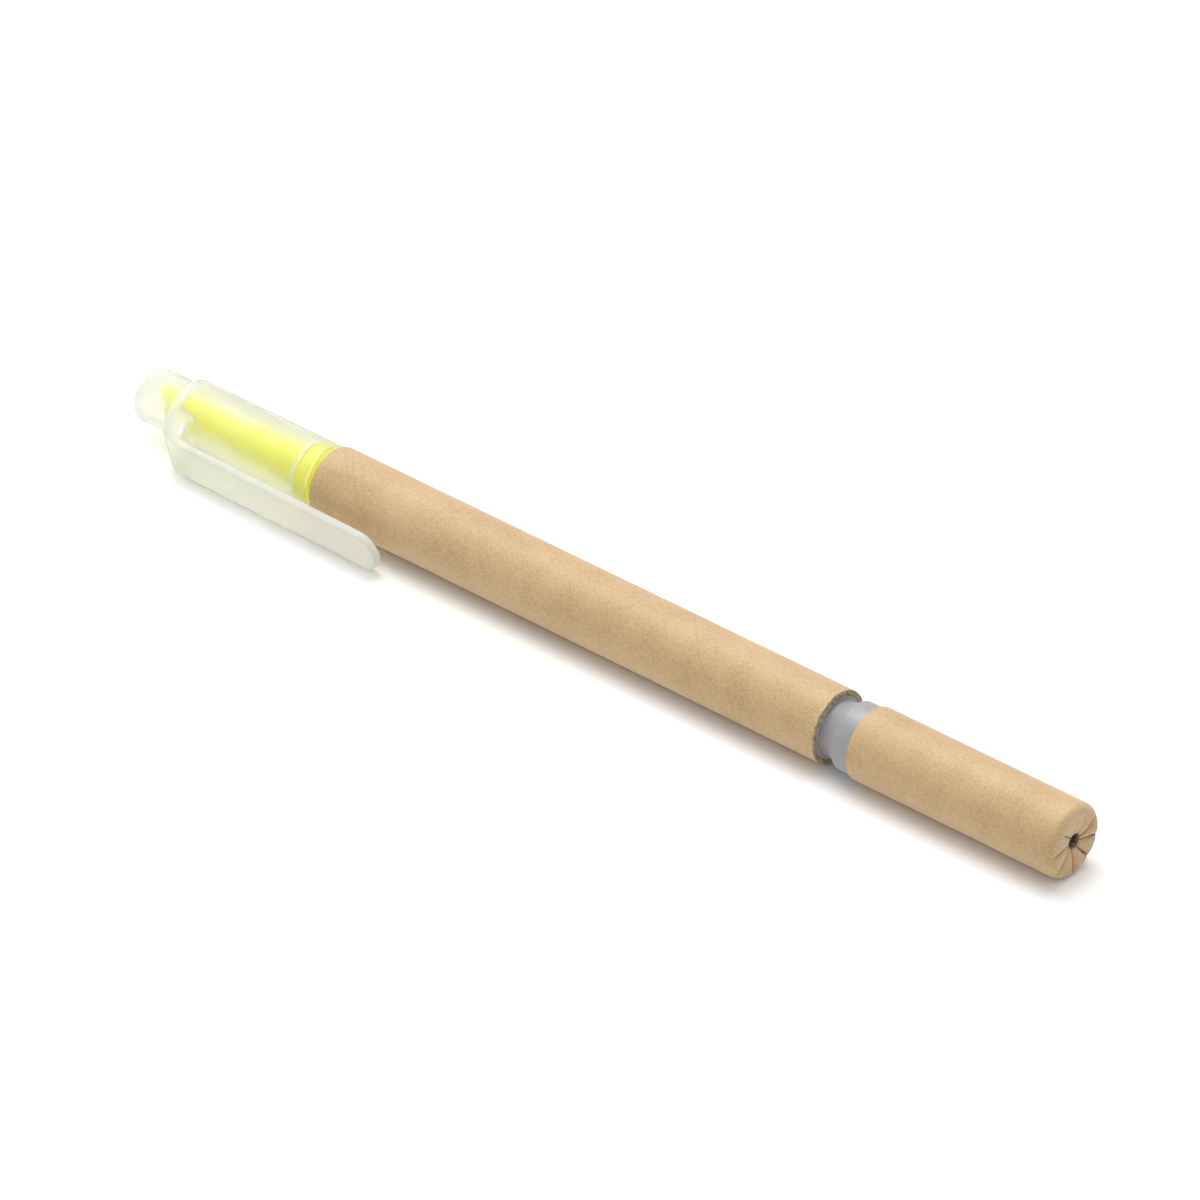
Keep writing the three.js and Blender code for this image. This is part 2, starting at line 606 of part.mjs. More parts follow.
// Grey section: hollow plug, neck, ringed grip and a curved nose with a narrow bore at its end
function penSection() {
  const bore = REFILL_RADIUS + PRESS_FIT;
  const land = TIP_BODY_RADIUS + PRESS_FIT;
  const noseRadius = land + NOSE_WALL;
  const plugBore = plugRadius - PEN_PLUG_WALL;
  const plugStart = BARREL_LENGTH - SEAT_GAP;
  const webStart = BARREL_LENGTH - PEN_PLUG_WEB;
  const ringPitch = GRIP_LENGTH / (2 * GRIP_RINGS + 1);
  const outline = [
    [penPlugRear, plugBore],
    [penPlugRear, plugRadius - PLUG_CHAMFER],
    [penPlugRear + PLUG_CHAMFER, plugRadius],
    [plugStart, plugRadius],
    [plugStart, neckRadius],
    [neckFront, neckRadius],
    [gripStart, GRIP_RADIUS],
  ];
  for (let i = 0; i < GRIP_RINGS; i += 1) {
    const start = gripStart + ringPitch * (2 * i + 1);
    outline.push([start, GRIP_RADIUS]);
    outline.push([start + GRIP_RING_DEPTH, GRIP_RADIUS - GRIP_RING_DEPTH]);
    outline.push([start + ringPitch - GRIP_RING_DEPTH, GRIP_RADIUS - GRIP_RING_DEPTH]);
    outline.push([start + ringPitch, GRIP_RADIUS]);
  }
  for (let i = 0; i <= NOSE_STEPS; i += 1) {
    const t = i / NOSE_STEPS;
    const bulge = NOSE_BULGE * Math.sin(Math.PI * t);
    outline.push([gripEnd + NOSE_LENGTH * t, GRIP_RADIUS + (noseRadius - GRIP_RADIUS) * t + bulge]);
  }
  outline.push([noseEnd, land]);
  outline.push([landStart, land]);
  outline.push([landStart, bore]);
  outline.push([webStart, bore]);
  outline.push([webStart, plugBore]);
  outline.push([penPlugRear, plugBore]);
  return part("pen_section", revolve(outline, WIDE_SIDES), greyPlastic);
}

function refillTube() {
  const outline = [
    [refillRear, refillBore],
    [refillRear, REFILL_RADIUS],
    [refillFront, REFILL_RADIUS],
    [refillFront, refillBore],
    [refillRear, refillBore],
  ];
  return part("refill_tube", revolve(outline, SLIM_SIDES), clearPlastic);
}

// A rod that fills the refill tube between two places
function refillColumn(name, start, end, material) {
  const radius = refillBore - FILM_FIT;
  const outline = [
    [start, 0],
    [start, radius],
    [end, radius],
    [end, 0],
  ];
  return part(name, revolve(outline, SLIM_SIDES), material);
}

// Metal tip: spigot in the refill tube, flange, body, cone and the socket that holds the ball
function tipCone() {
  const spigot = refillBore - FILM_FIT;
  const socket = BALL_RADIUS + BALL_FIT;
  const socketStart = ballCentre - BALL_RADIUS - BALL_FIT;
  const mouth = Math.sqrt(socket * socket - (tipLip - ballCentre) ** 2);
  const flangeStart = refillFront + SEAT_GAP;
  const outline = [
    [tipRear, TIP_CHANNEL_RADIUS],
    [tipRear, spigot],
    [flangeStart, spigot],
    [flangeStart, REFILL_RADIUS],
    [landStart - SEAT_GAP, REFILL_RADIUS],
    [landStart - SEAT_GAP, TIP_BODY_RADIUS],
    [coneStart, TIP_BODY_RADIUS],
    [tipLip, mouth + TIP_LIP_WALL],
    [tipLip, mouth],
    [ballCentre, socket],
    [socketStart, socket],
    [socketStart, TIP_CHANNEL_RADIUS],
    [tipRear, TIP_CHANNEL_RADIUS],
  ];
  return part("tip_cone", revolve(outline, SLIM_SIDES), nickel);
}

function tipBall() {
  const ball = new THREE.SphereGeometry(BALL_RADIUS, BALL_SIDES, BALL_BANDS);
  const mesh = part("tip_ball", ball, carbide);
  mesh.position.x = ballCentre;
  return mesh;
}

// Liner of the ballpoint cap: a cup whose rim grips the neck and stops the paper sleeve
function penCapLiner() {
  const seatEnd = neckFront + SEAT_GAP;
  const outline = [
    [rimStart, rimBore],
    ...arc(rimStart + RIM_ROUND, rimRadius - RIM_ROUND, RIM_ROUND, 180, 90),
    [rimEnd, rimRadius],
    [rimEnd, linerRadius],
    [linerEnd - LINER_CHAMFER, linerRadius],
    [linerEnd, linerRadius - LINER_CHAMFER],
    [linerEnd, 0],
    [linerBoreEnd, 0],
    [linerBoreEnd, linerBore - LINER_CHAMFER],
    [linerBoreEnd - LINER_CHAMFER, linerBore],
    [seatEnd + NECK_SHOULDER, linerBore],
    [seatEnd, rimBore],
    [rimStart, rimBore],
  ];
  return part("pen_cap_liner", revolve(outline, WIDE_SIDES), greyPlastic);
}

// Angles round the sleeve: each crease, its two lips and a few places across the pleat. A
// station's fold is 1 on a crease and 0 from the lips on, its crown the reverse.
function pleatStations() {
  const stations = [];
  PLEATS.forEach(({ angle, depth }, i) => {
    const next = PLEATS[(i + 1) % PLEATS.length];
    const nextAngle = next.angle > angle ? next.angle : next.angle + 360;
    const first = angle + PLEAT_LIP;
    const last = nextAngle - PLEAT_LIP;
    stations.push({ angle, fold: depth, crown: 0 });
    for (let j = 0; j <= PLEAT_STATIONS + 1; j += 1) {
      const t = j / (PLEAT_STATIONS + 1);
      const crown = CRIMP_CROWN * Math.sin(Math.PI * t);
      stations.push({ angle: first + (last - first) * t, fold: 0, crown });
    }
  });
  return stations;
}

// Paper sleeve: a tube whose end is folded in to a pleated face round a small hole. Each ring
// of the loft is one point of the wall's outline taken round the pen; on the folded face the
// creases sink along the outline's normal and the pleats between them stand a little proud.
function penCapSleeve() {
  const stations = pleatStations();
  const gaps = stations.map((station, i) => {
    const next = stations[(i + 1) % stations.length].angle;
    return (next > station.angle ? next : next + 360) - station.angle;
  });
  const widest = THREE.MathUtils.degToRad(Math.max(...gaps));
  const boreRadius = sleeveBore / Math.cos(widest / 2);
  const roundX = sleeveEnd - CRIMP_ROUND;
  const roundR = sleeveRadius - CRIMP_ROUND;
  const plain = { nx: 0, nr: 0, weight: 0 };
  const rings = [
    { x: sleeveStart, r: boreRadius, ...plain },
    { x: sleeveStart, r: sleeveRadius, ...plain },
    { x: roundX, r: sleeveRadius, ...plain },
  ];
  for (let i = 1; i <= CRIMP_STEPS; i += 1) {
    const t = (i / CRIMP_STEPS) * (Math.PI / 2);
    const normal = { nx: Math.sin(t), nr: Math.cos(t) };
    const x = roundX + CRIMP_ROUND * normal.nx;
    const r = roundR + CRIMP_ROUND * normal.nr;
    rings.push({ x, r, ...normal, weight: i / CRIMP_STEPS });
  }
  const lipX = sleeveEnd - CRIMP_DISH;
  const middleR = (roundR + CRIMP_HOLE_RADIUS) / 2;
  rings.push({ x: sleeveEnd - CRIMP_DISH / 4, r: middleR, nx: 1, nr: 0, weight: 1 });
  rings.push({ x: lipX, r: CRIMP_HOLE_RADIUS + CRIMP_DISH, nx: 1, nr: 0, weight: 1 });
  rings.push({ x: lipX - CRIMP_DISH, r: CRIMP_HOLE_RADIUS, nx: 0, nr: 0, weight: 1 });
  rings.push({ x: sleeveBoreEnd, r: CRIMP_HOLE_RADIUS, ...plain });
  rings.push({ x: sleeveBoreEnd, r: boreRadius - CRIMP_ROUND / 2, ...plain });
  rings.push({ x: sleeveBoreEnd - CRIMP_ROUND / 2, r: boreRadius, ...plain });
  const positions = [];
  const indices = [];
  rings.forEach((ring, i) => {
    const star = ring.nx === 0 && ring.weight > 0 ? CRIMP_HOLE_STAR : 0;
    stations.forEach(({ angle, fold, crown }) => {
      const turn = THREE.MathUtils.degToRad(angle);
      const lift = ring.weight * (crown - fold);
      const opening = fold > 0 ? star : 0;
      const r = ring.r + ring.nr * lift + opening;
      positions.push(ring.x + ring.nx * lift, r * Math.cos(turn), r * Math.sin(turn));
    });
    const here = i * stations.length;
    const there = ((i + 1) % rings.length) * stations.length;
    stations.forEach((station, j) => {
      const k = (j + 1) % stations.length;
      indices.push(here + j, here + k, there + j);
      indices.push(here + k, there + k, there + j);
    });
  });
  const geometry = new THREE.BufferGeometry();
  geometry.setAttribute("position", new THREE.Float32BufferAttribute(positions, 3));
  geometry.setIndex(indices);
  geometry.computeVertexNormals();
  return part("pen_cap_sleeve", geometry, kraft);
}

// Assembly, in the order in which the pieces sit along the pen
const clip = new THREE.Group();
clip.add(capClip());
clip.rotation.x = clipRoll;

const frostedCap = new THREE.Group();
frostedCap.add(highlighterCap(), clip);

const highlighter = new THREE.Group();
highlighter.add(highlighterNib(), nibHolder(), highlighterSection());
highlighter.add(inkTube(), reservoirFilm(), inkReservoir(), inkTubePlug());

const followerStart = refillRear + FOLLOWER_START;
const inkStart = followerStart + FOLLOWER_LENGTH + SEAT_GAP;
const ballpoint = new THREE.Group();
ballpoint.add(penSection(), refillTube(), tipCone(), tipBall());
ballpoint.add(refillColumn("refill_follower", followerStart, inkStart - SEAT_GAP, grease));
ballpoint.add(refillColumn("refill_ink", inkStart, tipRear - SEAT_GAP, blueInk));

const paperCap = new THREE.Group();
paperCap.add(penCapLiner(), penCapSleeve());

const pen = new THREE.Group();
pen.add(frostedCap, highlighter, barrelTube(), ballpoint, paperCap);
// The origin is under the middle of the pen's box, on the resting plane
const middleX = (capEnd + sleeveEnd) / 2;
const middleY = (Math.max(BARREL_RADIUS, sleeveRadius, capRadius) - clipReachY) / 2;
pen.position.set(-middleX, -middleY, restHeight);
pen.updateMatrixWorld(true);

export default pen;
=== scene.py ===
"""A two-in-one pen on a pale table: chisel highlighter under a frosted clip cap at the -X end,
ballpoint under a crimped paper cap at the +X end, and a kraft paper barrel between them.

Every piece is built in millimetres along the pen, where x is 0 at the barrel's edge on the
highlighter side, and is written to the row frame in metres by the pen's axis.
"""

import logging
import math
from collections.abc import Callable, Mapping, Sequence
from dataclasses import dataclass
from enum import Enum
from typing import Any

import bmesh
import bpy
from bpy.types import Material, NodeSocket, NodeTree, Object
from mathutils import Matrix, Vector, noise


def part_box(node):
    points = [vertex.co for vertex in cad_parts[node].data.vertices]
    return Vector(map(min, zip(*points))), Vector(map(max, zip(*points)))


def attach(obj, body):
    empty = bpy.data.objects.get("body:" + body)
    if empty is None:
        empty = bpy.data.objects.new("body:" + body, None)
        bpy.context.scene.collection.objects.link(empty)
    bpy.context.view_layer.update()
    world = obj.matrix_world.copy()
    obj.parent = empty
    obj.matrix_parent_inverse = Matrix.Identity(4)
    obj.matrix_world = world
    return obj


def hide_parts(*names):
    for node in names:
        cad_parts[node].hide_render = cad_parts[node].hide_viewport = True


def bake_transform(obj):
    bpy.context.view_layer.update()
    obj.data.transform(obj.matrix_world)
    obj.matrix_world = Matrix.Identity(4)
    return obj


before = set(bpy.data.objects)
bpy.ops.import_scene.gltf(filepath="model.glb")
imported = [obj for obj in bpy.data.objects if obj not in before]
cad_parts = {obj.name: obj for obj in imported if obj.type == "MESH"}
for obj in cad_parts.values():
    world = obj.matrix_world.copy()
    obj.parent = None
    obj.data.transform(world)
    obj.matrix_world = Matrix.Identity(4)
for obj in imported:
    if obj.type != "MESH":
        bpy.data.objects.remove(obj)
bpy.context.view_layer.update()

LOG = logging.getLogger("pen")
MM = 0.001

Corner = tuple[float, float, float]  # x, r and the radius of the corner's round, in mm
Point = tuple[float, float]  # x and r, in mm
Lift = Callable[[float, float, float], Point]  # x, r and turn about the pen to a moved x and r


@dataclass(frozen=True)
class PenAxis:
    """The pen's own axes in the row frame: x along it, y to its back, z up."""

    origin: Vector

    def at(self, x: float, y: float, z: float) -> Vector:
        """Returns the row frame's point, in metres, of a place on the pen in millimetres."""
        return self.origin + Vector((x, y, z)) * MM


def barrel_axis() -> PenAxis:
    """Returns the pen's axis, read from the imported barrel."""
    low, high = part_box("barrel_tube")
    return PenAxis(Vector((low.x, (low.y + high.y) / 2, (low.z + high.z) / 2)))


PEN = barrel_axis()


class Body(Enum):
    """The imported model's bodies that dressed pieces ride on."""

    BARREL = "barrel"
    FROSTED_CAP = "frosted_cap"
    CLIP = "clip"
    PAPER_CAP = "paper_cap"


# Colours and shader nodes


def linear(code: str) -> tuple[float, float, float, float]:
    """Turns an sRGB hex colour to linear RGBA.

    Args:
        code: The colour as #RRGGBB.

    Returns:
        Linear red, green and blue, and an alpha of 1.
    """
    shares = [int(code[i : i + 2], 16) / 255 for i in (1, 3, 5)]
    r, g, b = [s / 12.92 if s <= 0.04045 else ((s + 0.055) / 1.055) ** 2.4 for s in shares]
    return r, g, b, 1.0


def per_mm(size: float) -> float:
    """Returns the texture scale at which a pattern repeats about every size millimetres."""
    return 1 / (size * MM)


def add(
    tree: NodeTree,
    kind: str,
    settings: Mapping[str, Any] | None = None,
    inputs: Mapping[str, Any] | None = None,
    stops: Sequence[tuple[float, tuple[float, float, float, float]]] = (),
    take: str | None = None,
) -> NodeSocket:
    """Adds one node with its settings and links.

    Args:
        tree: The tree that gets the node.
        kind: Blender's name for the kind of node.
        settings: The node's own settings, by name.
        inputs: Values or feeding sockets, by the identifier of the input.
        stops: Place and colour of each stop, for a colour ramp.
        take: Identifier of the output to return, or None for the first.

    Returns:
        The output socket asked for.
    """
    node = tree.nodes.new(kind)
    for name, value in (settings or {}).items():
        setattr(node, name, value)
    sockets = {socket.identifier: socket for socket in node.inputs}
    for name, value in (inputs or {}).items():
        if isinstance(value, NodeSocket):
            tree.links.new(value, sockets[name])
        else:
            sockets[name].default_value = value
    for i, (place, colour) in enumerate(stops):
        ramp = node.color_ramp.elements
        stop = ramp[i] if i < len(ramp) else ramp.new(place)
        stop.position = place
        stop.color = colour
    if take is None:
        return node.outputs[0] if node.outputs else None
    return next(socket for socket in node.outputs if socket.identifier == take)


# The finishes


@dataclass(frozen=True)
class Finish:
    """What every finish has: a material of one principled shader, made once and shared."""

    name: str

    def material(self) -> Material:
        """Returns the finish's material, made at its first use."""
        made = bpy.data.materials.get(self.name)
        if made is None:
            made = bpy.data.materials.new(self.name)
            made.use_nodes = True
            tree = made.node_tree
            tree.nodes.clear()
            place = add(tree, "ShaderNodeTexCoord", take="Object")
            shader = add(tree, "ShaderNodeBsdfPrincipled", inputs=self.sockets(tree, place))
            add(tree, "ShaderNodeOutputMaterial", inputs={"Surface": shader})
        return made

    def sockets(self, tree: NodeTree, place: NodeSocket) -> dict[str, Any]:
        """Adds the finish's nodes.

        Args:
            tree: The material's tree.
            place: Coordinates in the row frame, in metres.

        Returns:
            What goes into the shader's inputs, by identifier.
        """
        raise NotImplementedError


def about_axis(tree: NodeTree, place: NodeSocket) -> tuple[NodeSocket, NodeSocket, NodeSocket]:
    """Adds nodes that give a point's place relative to the pen's axis.

    Args:
        tree: The material's tree.
        place: Coordinates in the row frame, in metres.

    Returns:
        The distances along the pen, to its back and up, in metres.
    """
    moved = add(
        tree,
        "ShaderNodeVectorMath",
        {"operation": "SUBTRACT"},
        {"Vector": place, "Vector_001": PEN.origin},
    )
    split = add(tree, "ShaderNodeSeparateXYZ", inputs={"Vector": moved}).node
    return split.outputs["X"], split.outputs["Y"], split.outputs["Z"]


@dataclass(frozen=True)
class PlySeam:
    """The butt joint of the outer paper strip, a helix round a spirally wound tube."""

    pitch: float = 27.8  # mm along the pen for one turn
    start: float = 47.9  # degrees from +Y towards +Z at x = 0
    width: float = 0.16  # mm
    radius: float = 4.75  # mm
    colour: str = "#B98A58"
    strength: float = 0.27

    def mask(self, tree: NodeTree, place: NodeSocket) -> NodeSocket:
        """Adds nodes whose value is 1 on the seam and 0 off it.

        Args:
            tree: The material's tree.
            place: Coordinates in the row frame, in metres.

        Returns:
            The mask.
        """
        along, back, up = about_axis(tree, place)
        turn = add(
            tree, "ShaderNodeMath", {"operation": "ARCTAN2"}, {"Value": up, "Value_001": back}
        )
        ahead = add(
            tree,
            "ShaderNodeMath",
            {"operation": "MULTIPLY_ADD"},
            {"Value": turn, "Value_001": 1 / math.tau, "Value_002": -self.start / 360},
        )
        phase = add(
            tree,
            "ShaderNodeMath",
            {"operation": "MULTIPLY_ADD"},
            {"Value": along, "Value_001": -1 / (self.pitch * MM), "Value_002": ahead},
        )
        off = add(
            tree, "ShaderNodeMath", {"operation": "PINGPONG"}, {"Value": phase, "Value_001": 0.5}
        )
        across = self.pitch * math.cos(math.atan2(self.pitch, math.tau * self.radius))
        line = add(
            tree,
            "ShaderNodeMapRange",
            {"interpolation_type": "SMOOTHSTEP"},
            {
                "Value": off,
                "From Min": 0.0,
                "From Max": self.width / across,
                "To Min": 1.0,
                "To Max": 0.0,
            },
        )
        # The joint closes up and opens again every few millimetres
        wander = add(
            tree,
            "ShaderNodeTexNoise",
            inputs={"Vector": place, "Scale": per_mm(4.0), "Detail": 1.0},
        )
        return add(
            tree, "ShaderNodeMath", {"operation": "MULTIPLY"}, {"Value": line, "Value_001": wander}
        )


@dataclass(frozen=True)
class KraftPaper(Finish):
    """Unbleached kraft paper, wound and glued, uncoated.

    Long fibres cloud the sheet in spots of about a third of a millimetre, and its mass varies
    over a few millimetres, which gives the warm mottled brown. The pressed sheet has a soft
    broad shine and no sharp gloss.
    """

    pale: str = "#E2C28F"
    base: str = "#D9B581"
    deep: str = "#C79F6C"
    fleck: str = "#A77F52"
    cloud: float = 0.3  # mm, fibre clumps
    drift: float = 5.0  # mm, changes in the sheet's mass
    seam: PlySeam | None = None

    def sockets(self, tree: NodeTree, place: NodeSocket) -> dict[str, Any]:
        """Adds the finish's nodes.

        Args:
            tree: The material's tree.
            place: Coordinates in the row frame, in metres.

        Returns:
            What goes into the shader's inputs, by identifier.
        """
        clumps = add(
            tree,
            "ShaderNodeTexNoise",
            inputs={
                "Vector": place,
                "Scale": per_mm(self.cloud),
                "Detail": 4.0,
                "Roughness": 0.62,
                "Distortion": 0.4,
            },
        )
        sheet = add(
            tree,
            "ShaderNodeTexNoise",
            inputs={"Vector": place, "Scale": per_mm(self.drift), "Detail": 2.0},
        )
        mixed = add(
            tree,
            "ShaderNodeMath",
            {"operation": "MULTIPLY_ADD"},
            {"Value": sheet, "Value_001": 0.45, "Value_002": clumps},
        )
        colour = add(
            tree,
            "ShaderNodeValToRGB",
            inputs={"Fac": mixed},
            stops=[
                (0.52, linear(self.deep)),
                (0.74, linear(self.base)),
                (0.96, linear(self.pale)),
            ],
        )
        # Dark shives: short bits of bark that stay in unbleached pulp
        shives = add(
            tree,
            "ShaderNodeTexNoise",
            inputs={"Vector": place, "Scale": per_mm(0.45), "Detail": 1.0, "Distortion": 1.5},
        )
        few = add(
            tree,
            "ShaderNodeMapRange",
            inputs={"Value": shives, "From Min": 0.70, "From Max": 0.80, "To Max": 0.55},
        )
        colour = add(
            tree,
            "ShaderNodeMix",
            {"data_type": "RGBA"},
            {"Factor_Float": few, "A_Color": colour, "B_Color": linear(self.fleck)},
            take="Result_Color",
        )
        height = clumps
        if self.seam is not None:
            line = self.seam.mask(tree, place)
            share = add(
                tree,
                "ShaderNodeMath",
                {"operation": "MULTIPLY"},
                {"Value": line, "Value_001": self.seam.strength * 2},
            )
            colour = add(
                tree,
                "ShaderNodeMix",
                {"data_type": "RGBA"},
                {"Factor_Float": share, "A_Color": colour, "B_Color": linear(self.seam.colour)},
                take="Result_Color",
            )
            height = add(
                tree,
                "ShaderNodeMath",
                {"operation": "SUBTRACT"},
                {"Value": clumps, "Value_001": line},
            )
        tooth = add(
            tree,
            "ShaderNodeBump",
            inputs={"Strength": 0.4, "Distance": 0.04 * MM, "Height": height},
        )
        return {
            "Base Color": colour,
            "Roughness": 0.52,
            "Specular IOR Level": 0.7,
            "Sheen Weight": 0.3,
            "Sheen Roughness": 0.55,
            "Normal": tooth,
        }


@dataclass(frozen=True)
class CutBoard(Finish):
    """The sawn end of a wound paper tube: torn grey-brown fibres in rings of plies.

    The saw lifts the fibres, which hold dust and shade between them, so the edge is darker and
    greyer than the sheet.
    """

    pale: str = "#E2D0B0"
    deep: str = "#8A7963"
    fibre: float = 0.24  # mm, tufts of torn fibres
    ply: float = 0.23  # mm thick

    def sockets(self, tree: NodeTree, place: NodeSocket) -> dict[str, Any]:
        """Adds the finish's nodes.

        Args:
            tree: The material's tree.
            place: Coordinates in the row frame, in metres.

        Returns:
            What goes into the shader's inputs, by identifier.
        """
        _, back, up = about_axis(tree, place)
        flat = add(tree, "ShaderNodeCombineXYZ", inputs={"Y": back, "Z": up})
        reach = add(
            tree, "ShaderNodeVectorMath", {"operation": "LENGTH"}, {"Vector": flat}, take="Value"
        )
        rings = add(
            tree,
            "ShaderNodeMath",
            {"operation": "PINGPONG"},
            {"Value": reach, "Value_001": self.ply * MM / 2},
        )
        torn = add(
            tree,
            "ShaderNodeTexNoise",
            inputs={
                "Vector": place,
                "Scale": per_mm(self.fibre),
                "Detail": 3.0,
                "Distortion": 1.0,
            },
        )
        both = add(
            tree,
            "ShaderNodeMath",
            {"operation": "MULTIPLY_ADD"},
            {"Value": rings, "Value_001": 0.35 / (self.ply * MM), "Value_002": torn},
        )
        colour = add(
            tree,
            "ShaderNodeValToRGB",
            inputs={"Fac": both},
            stops=[(0.42, linear(self.deep)), (0.72, linear(self.pale))],
        )
        rough = add(
            tree, "ShaderNodeBump", inputs={"Strength": 1.0, "Distance": 0.12 * MM, "Height": both}
        )
        return {
            "Base Color": colour,
            "Roughness": 0.95,
            "Specular IOR Level": 0.2,
            "Normal": rough,
        }


@dataclass(frozen=True)
class Moulded(Finish):
    """Injection moulded plastic, plain or translucent.

    The mould's fine spark-eroded texture scatters the light, and the pigment is a little
    uneven where the melt flowed.
    """

    colour: str
    flow: str  # colour where the melt carried more pigment
    roughness: float = 0.35
    transmission: float = 0.0
    ior: float = 1.49  # polypropylene
    glow: float = 0.0  # emission: a fluorescent dye's added light; on undyed plastic, painted light
    milk: float = 0.0  # share of the light that scatters under the surface
    depth: float = 0.8  # mm that light travels in it before it scatters
    texture: float = 0.12  # mm from pit to pit
    relief: float = 0.004  # mm deep

    def sockets(self, tree: NodeTree, place: NodeSocket) -> dict[str, Any]:
        """Adds the finish's nodes.

        Args:
            tree: The material's tree.
            place: Coordinates in the row frame, in metres.

        Returns:
            What goes into the shader's inputs, by identifier.
        """
        swirl = add(
            tree,
            "ShaderNodeTexNoise",
            inputs={"Vector": place, "Scale": per_mm(3.0), "Detail": 2.0, "Distortion": 0.8},
        )
        colour = add(
            tree,
            "ShaderNodeMix",
            {"data_type": "RGBA"},
            {"Factor_Float": swirl, "A_Color": linear(self.colour), "B_Color": linear(self.flow)},
            take="Result_Color",
        )
        gloss = add(
            tree,
            "ShaderNodeMapRange",
            inputs={
                "Value": swirl,
                "To Min": self.roughness - 0.05,
                "To Max": self.roughness + 0.05,
            },
        )
        grain = add(
            tree,
            "ShaderNodeTexNoise",
            inputs={"Vector": place, "Scale": per_mm(self.texture), "Detail": 2.0},
        )
        relief = add(
            tree,
            "ShaderNodeBump",
            inputs={"Strength": 0.5, "Distance": self.relief * MM, "Height": grain},
        )
        made = {
            "Base Color": colour,
            "Roughness": gloss,
            "IOR": self.ior,
            "Transmission Weight": self.transmission,
            "Normal": relief,
        }
        if self.glow:
            made["Emission Color"] = linear(self.colour)
            made["Emission Strength"] = self.glow
        if self.milk:
            made["Subsurface Weight"] = self.milk
            made["Subsurface Radius"] = (1.0, 1.0, 0.6)
            made["Subsurface Scale"] = self.depth * MM
        return made


@dataclass(frozen=True)
class Felt(Finish):
    """Bonded polyester fibre soaked with ink: fibres run along the rod, dull and soft."""

    wet: str = "#DCE934"
    dry: str = "#C3D02A"
    fibre: float = 0.09  # mm across a bundle, because single fibres are too fine to show
    run: float = 2.4  # mm along it
    glow: float = 0.12

    def sockets(self, tree: NodeTree, place: NodeSocket) -> dict[str, Any]:
        """Adds the finish's nodes.

        Args:
            tree: The material's tree.
            place: Coordinates in the row frame, in metres.

        Returns:
            What goes into the shader's inputs, by identifier.
        """
        stretched = add(
            tree,
            "ShaderNodeMapping",
            inputs={"Vector": place, "Scale": (self.fibre / self.run, 1.0, 1.0)},
        )
        strands = add(
            tree,
            "ShaderNodeTexNoise",
            inputs={"Vector": stretched, "Scale": per_mm(self.fibre), "Detail": 2.0},
        )
        colour = add(
            tree,
            "ShaderNodeValToRGB",
            inputs={"Fac": strands},
            stops=[(0.35, linear(self.dry)), (0.62, linear(self.wet))],
        )
        fuzz = add(
            tree,
            "ShaderNodeBump",
            inputs={"Strength": 0.8, "Distance": 0.05 * MM, "Height": strands},
        )
        return {
            "Base Color": colour,
            "Roughness": 0.92,
            "Sheen Weight": 0.3,
            "Emission Color": linear(self.wet),
            "Emission Strength": self.glow,
            "Normal": fuzz,
        }


@dataclass(frozen=True)
class Fluid(Finish):
    """Ballpoint paste or the grease behind it: wet, glossy, with a few trapped streaks."""

    colour: str
    streak: str

    def sockets(self, tree: NodeTree, place: NodeSocket) -> dict[str, Any]:
        """Adds the finish's nodes.

        Args:
            tree: The material's tree.
            place: Coordinates in the row frame, in metres.

        Returns:
            What goes into the shader's inputs, by identifier.
        """
        smear = add(
            tree,
            "ShaderNodeTexNoise",
            inputs={"Vector": place, "Scale": per_mm(1.2), "Detail": 3.0, "Distortion": 1.2},
        )
        colour = add(
            tree,
            "ShaderNodeMix",
            {"data_type": "RGBA"},
            {
                "Factor_Float": smear,
                "A_Color": linear(self.colour),
                "B_Color": linear(self.streak),
            },
            take="Result_Color",
        )
        wet = add(
            tree,
            "ShaderNodeBump",
            inputs={"Strength": 0.3, "Distance": 0.02 * MM, "Height": smear},
        )
        return {"Base Color": colour, "Roughness": 0.18, "Coat Weight": 0.5, "Normal": wet}


@dataclass(frozen=True)
class TurnedMetal(Finish):
    """Metal turned on a lathe: fine rings left by the tool catch the light round the axis."""

    colour: str
    dull: str
    roughness: float = 0.24
    feed: float = 0.07  # mm from ring to ring, coarser than the tool's so that it shows

    def sockets(self, tree: NodeTree, place: NodeSocket) -> dict[str, Any]:
        """Adds the finish's nodes.

        Args:
            tree: The material's tree.
            place: Coordinates in the row frame, in metres.

        Returns:
            What goes into the shader's inputs, by identifier.
        """
        rings = add(
            tree,
            "ShaderNodeTexWave",
            {"wave_type": "BANDS", "bands_direction": "X"},
            # A wave repeats every tau / 20 of its coordinate
            {"Vector": place, "Scale": per_mm(self.feed) * math.tau / 20, "Distortion": 0.6},
            take="Fac",
        )
        tarnish = add(
            tree,
            "ShaderNodeTexNoise",
            inputs={"Vector": place, "Scale": per_mm(0.8), "Detail": 3.0},
        )
        colour = add(
            tree,
            "ShaderNodeMix",
            {"data_type": "RGBA"},
            {
                "Factor_Float": tarnish,
                "A_Color": linear(self.colour),
                "B_Color": linear(self.dull),
            },
            take="Result_Color",
        )
        cut = add(
            tree,
            "ShaderNodeBump",
            inputs={"Strength": 0.4, "Distance": 0.006 * MM, "Height": rings},
        )
        return {
            "Base Color": colour,
            "Metallic": 1.0,
            "Roughness": self.roughness,
            "Normal": cut,
        }


WOUND_KRAFT = KraftPaper("kraft_paper_spiral_wound", seam=PlySeam())
CAP_KRAFT = KraftPaper("kraft_paper_crimped")
SAWN_EDGE = CutBoard("paper_tube_sawn_edge")
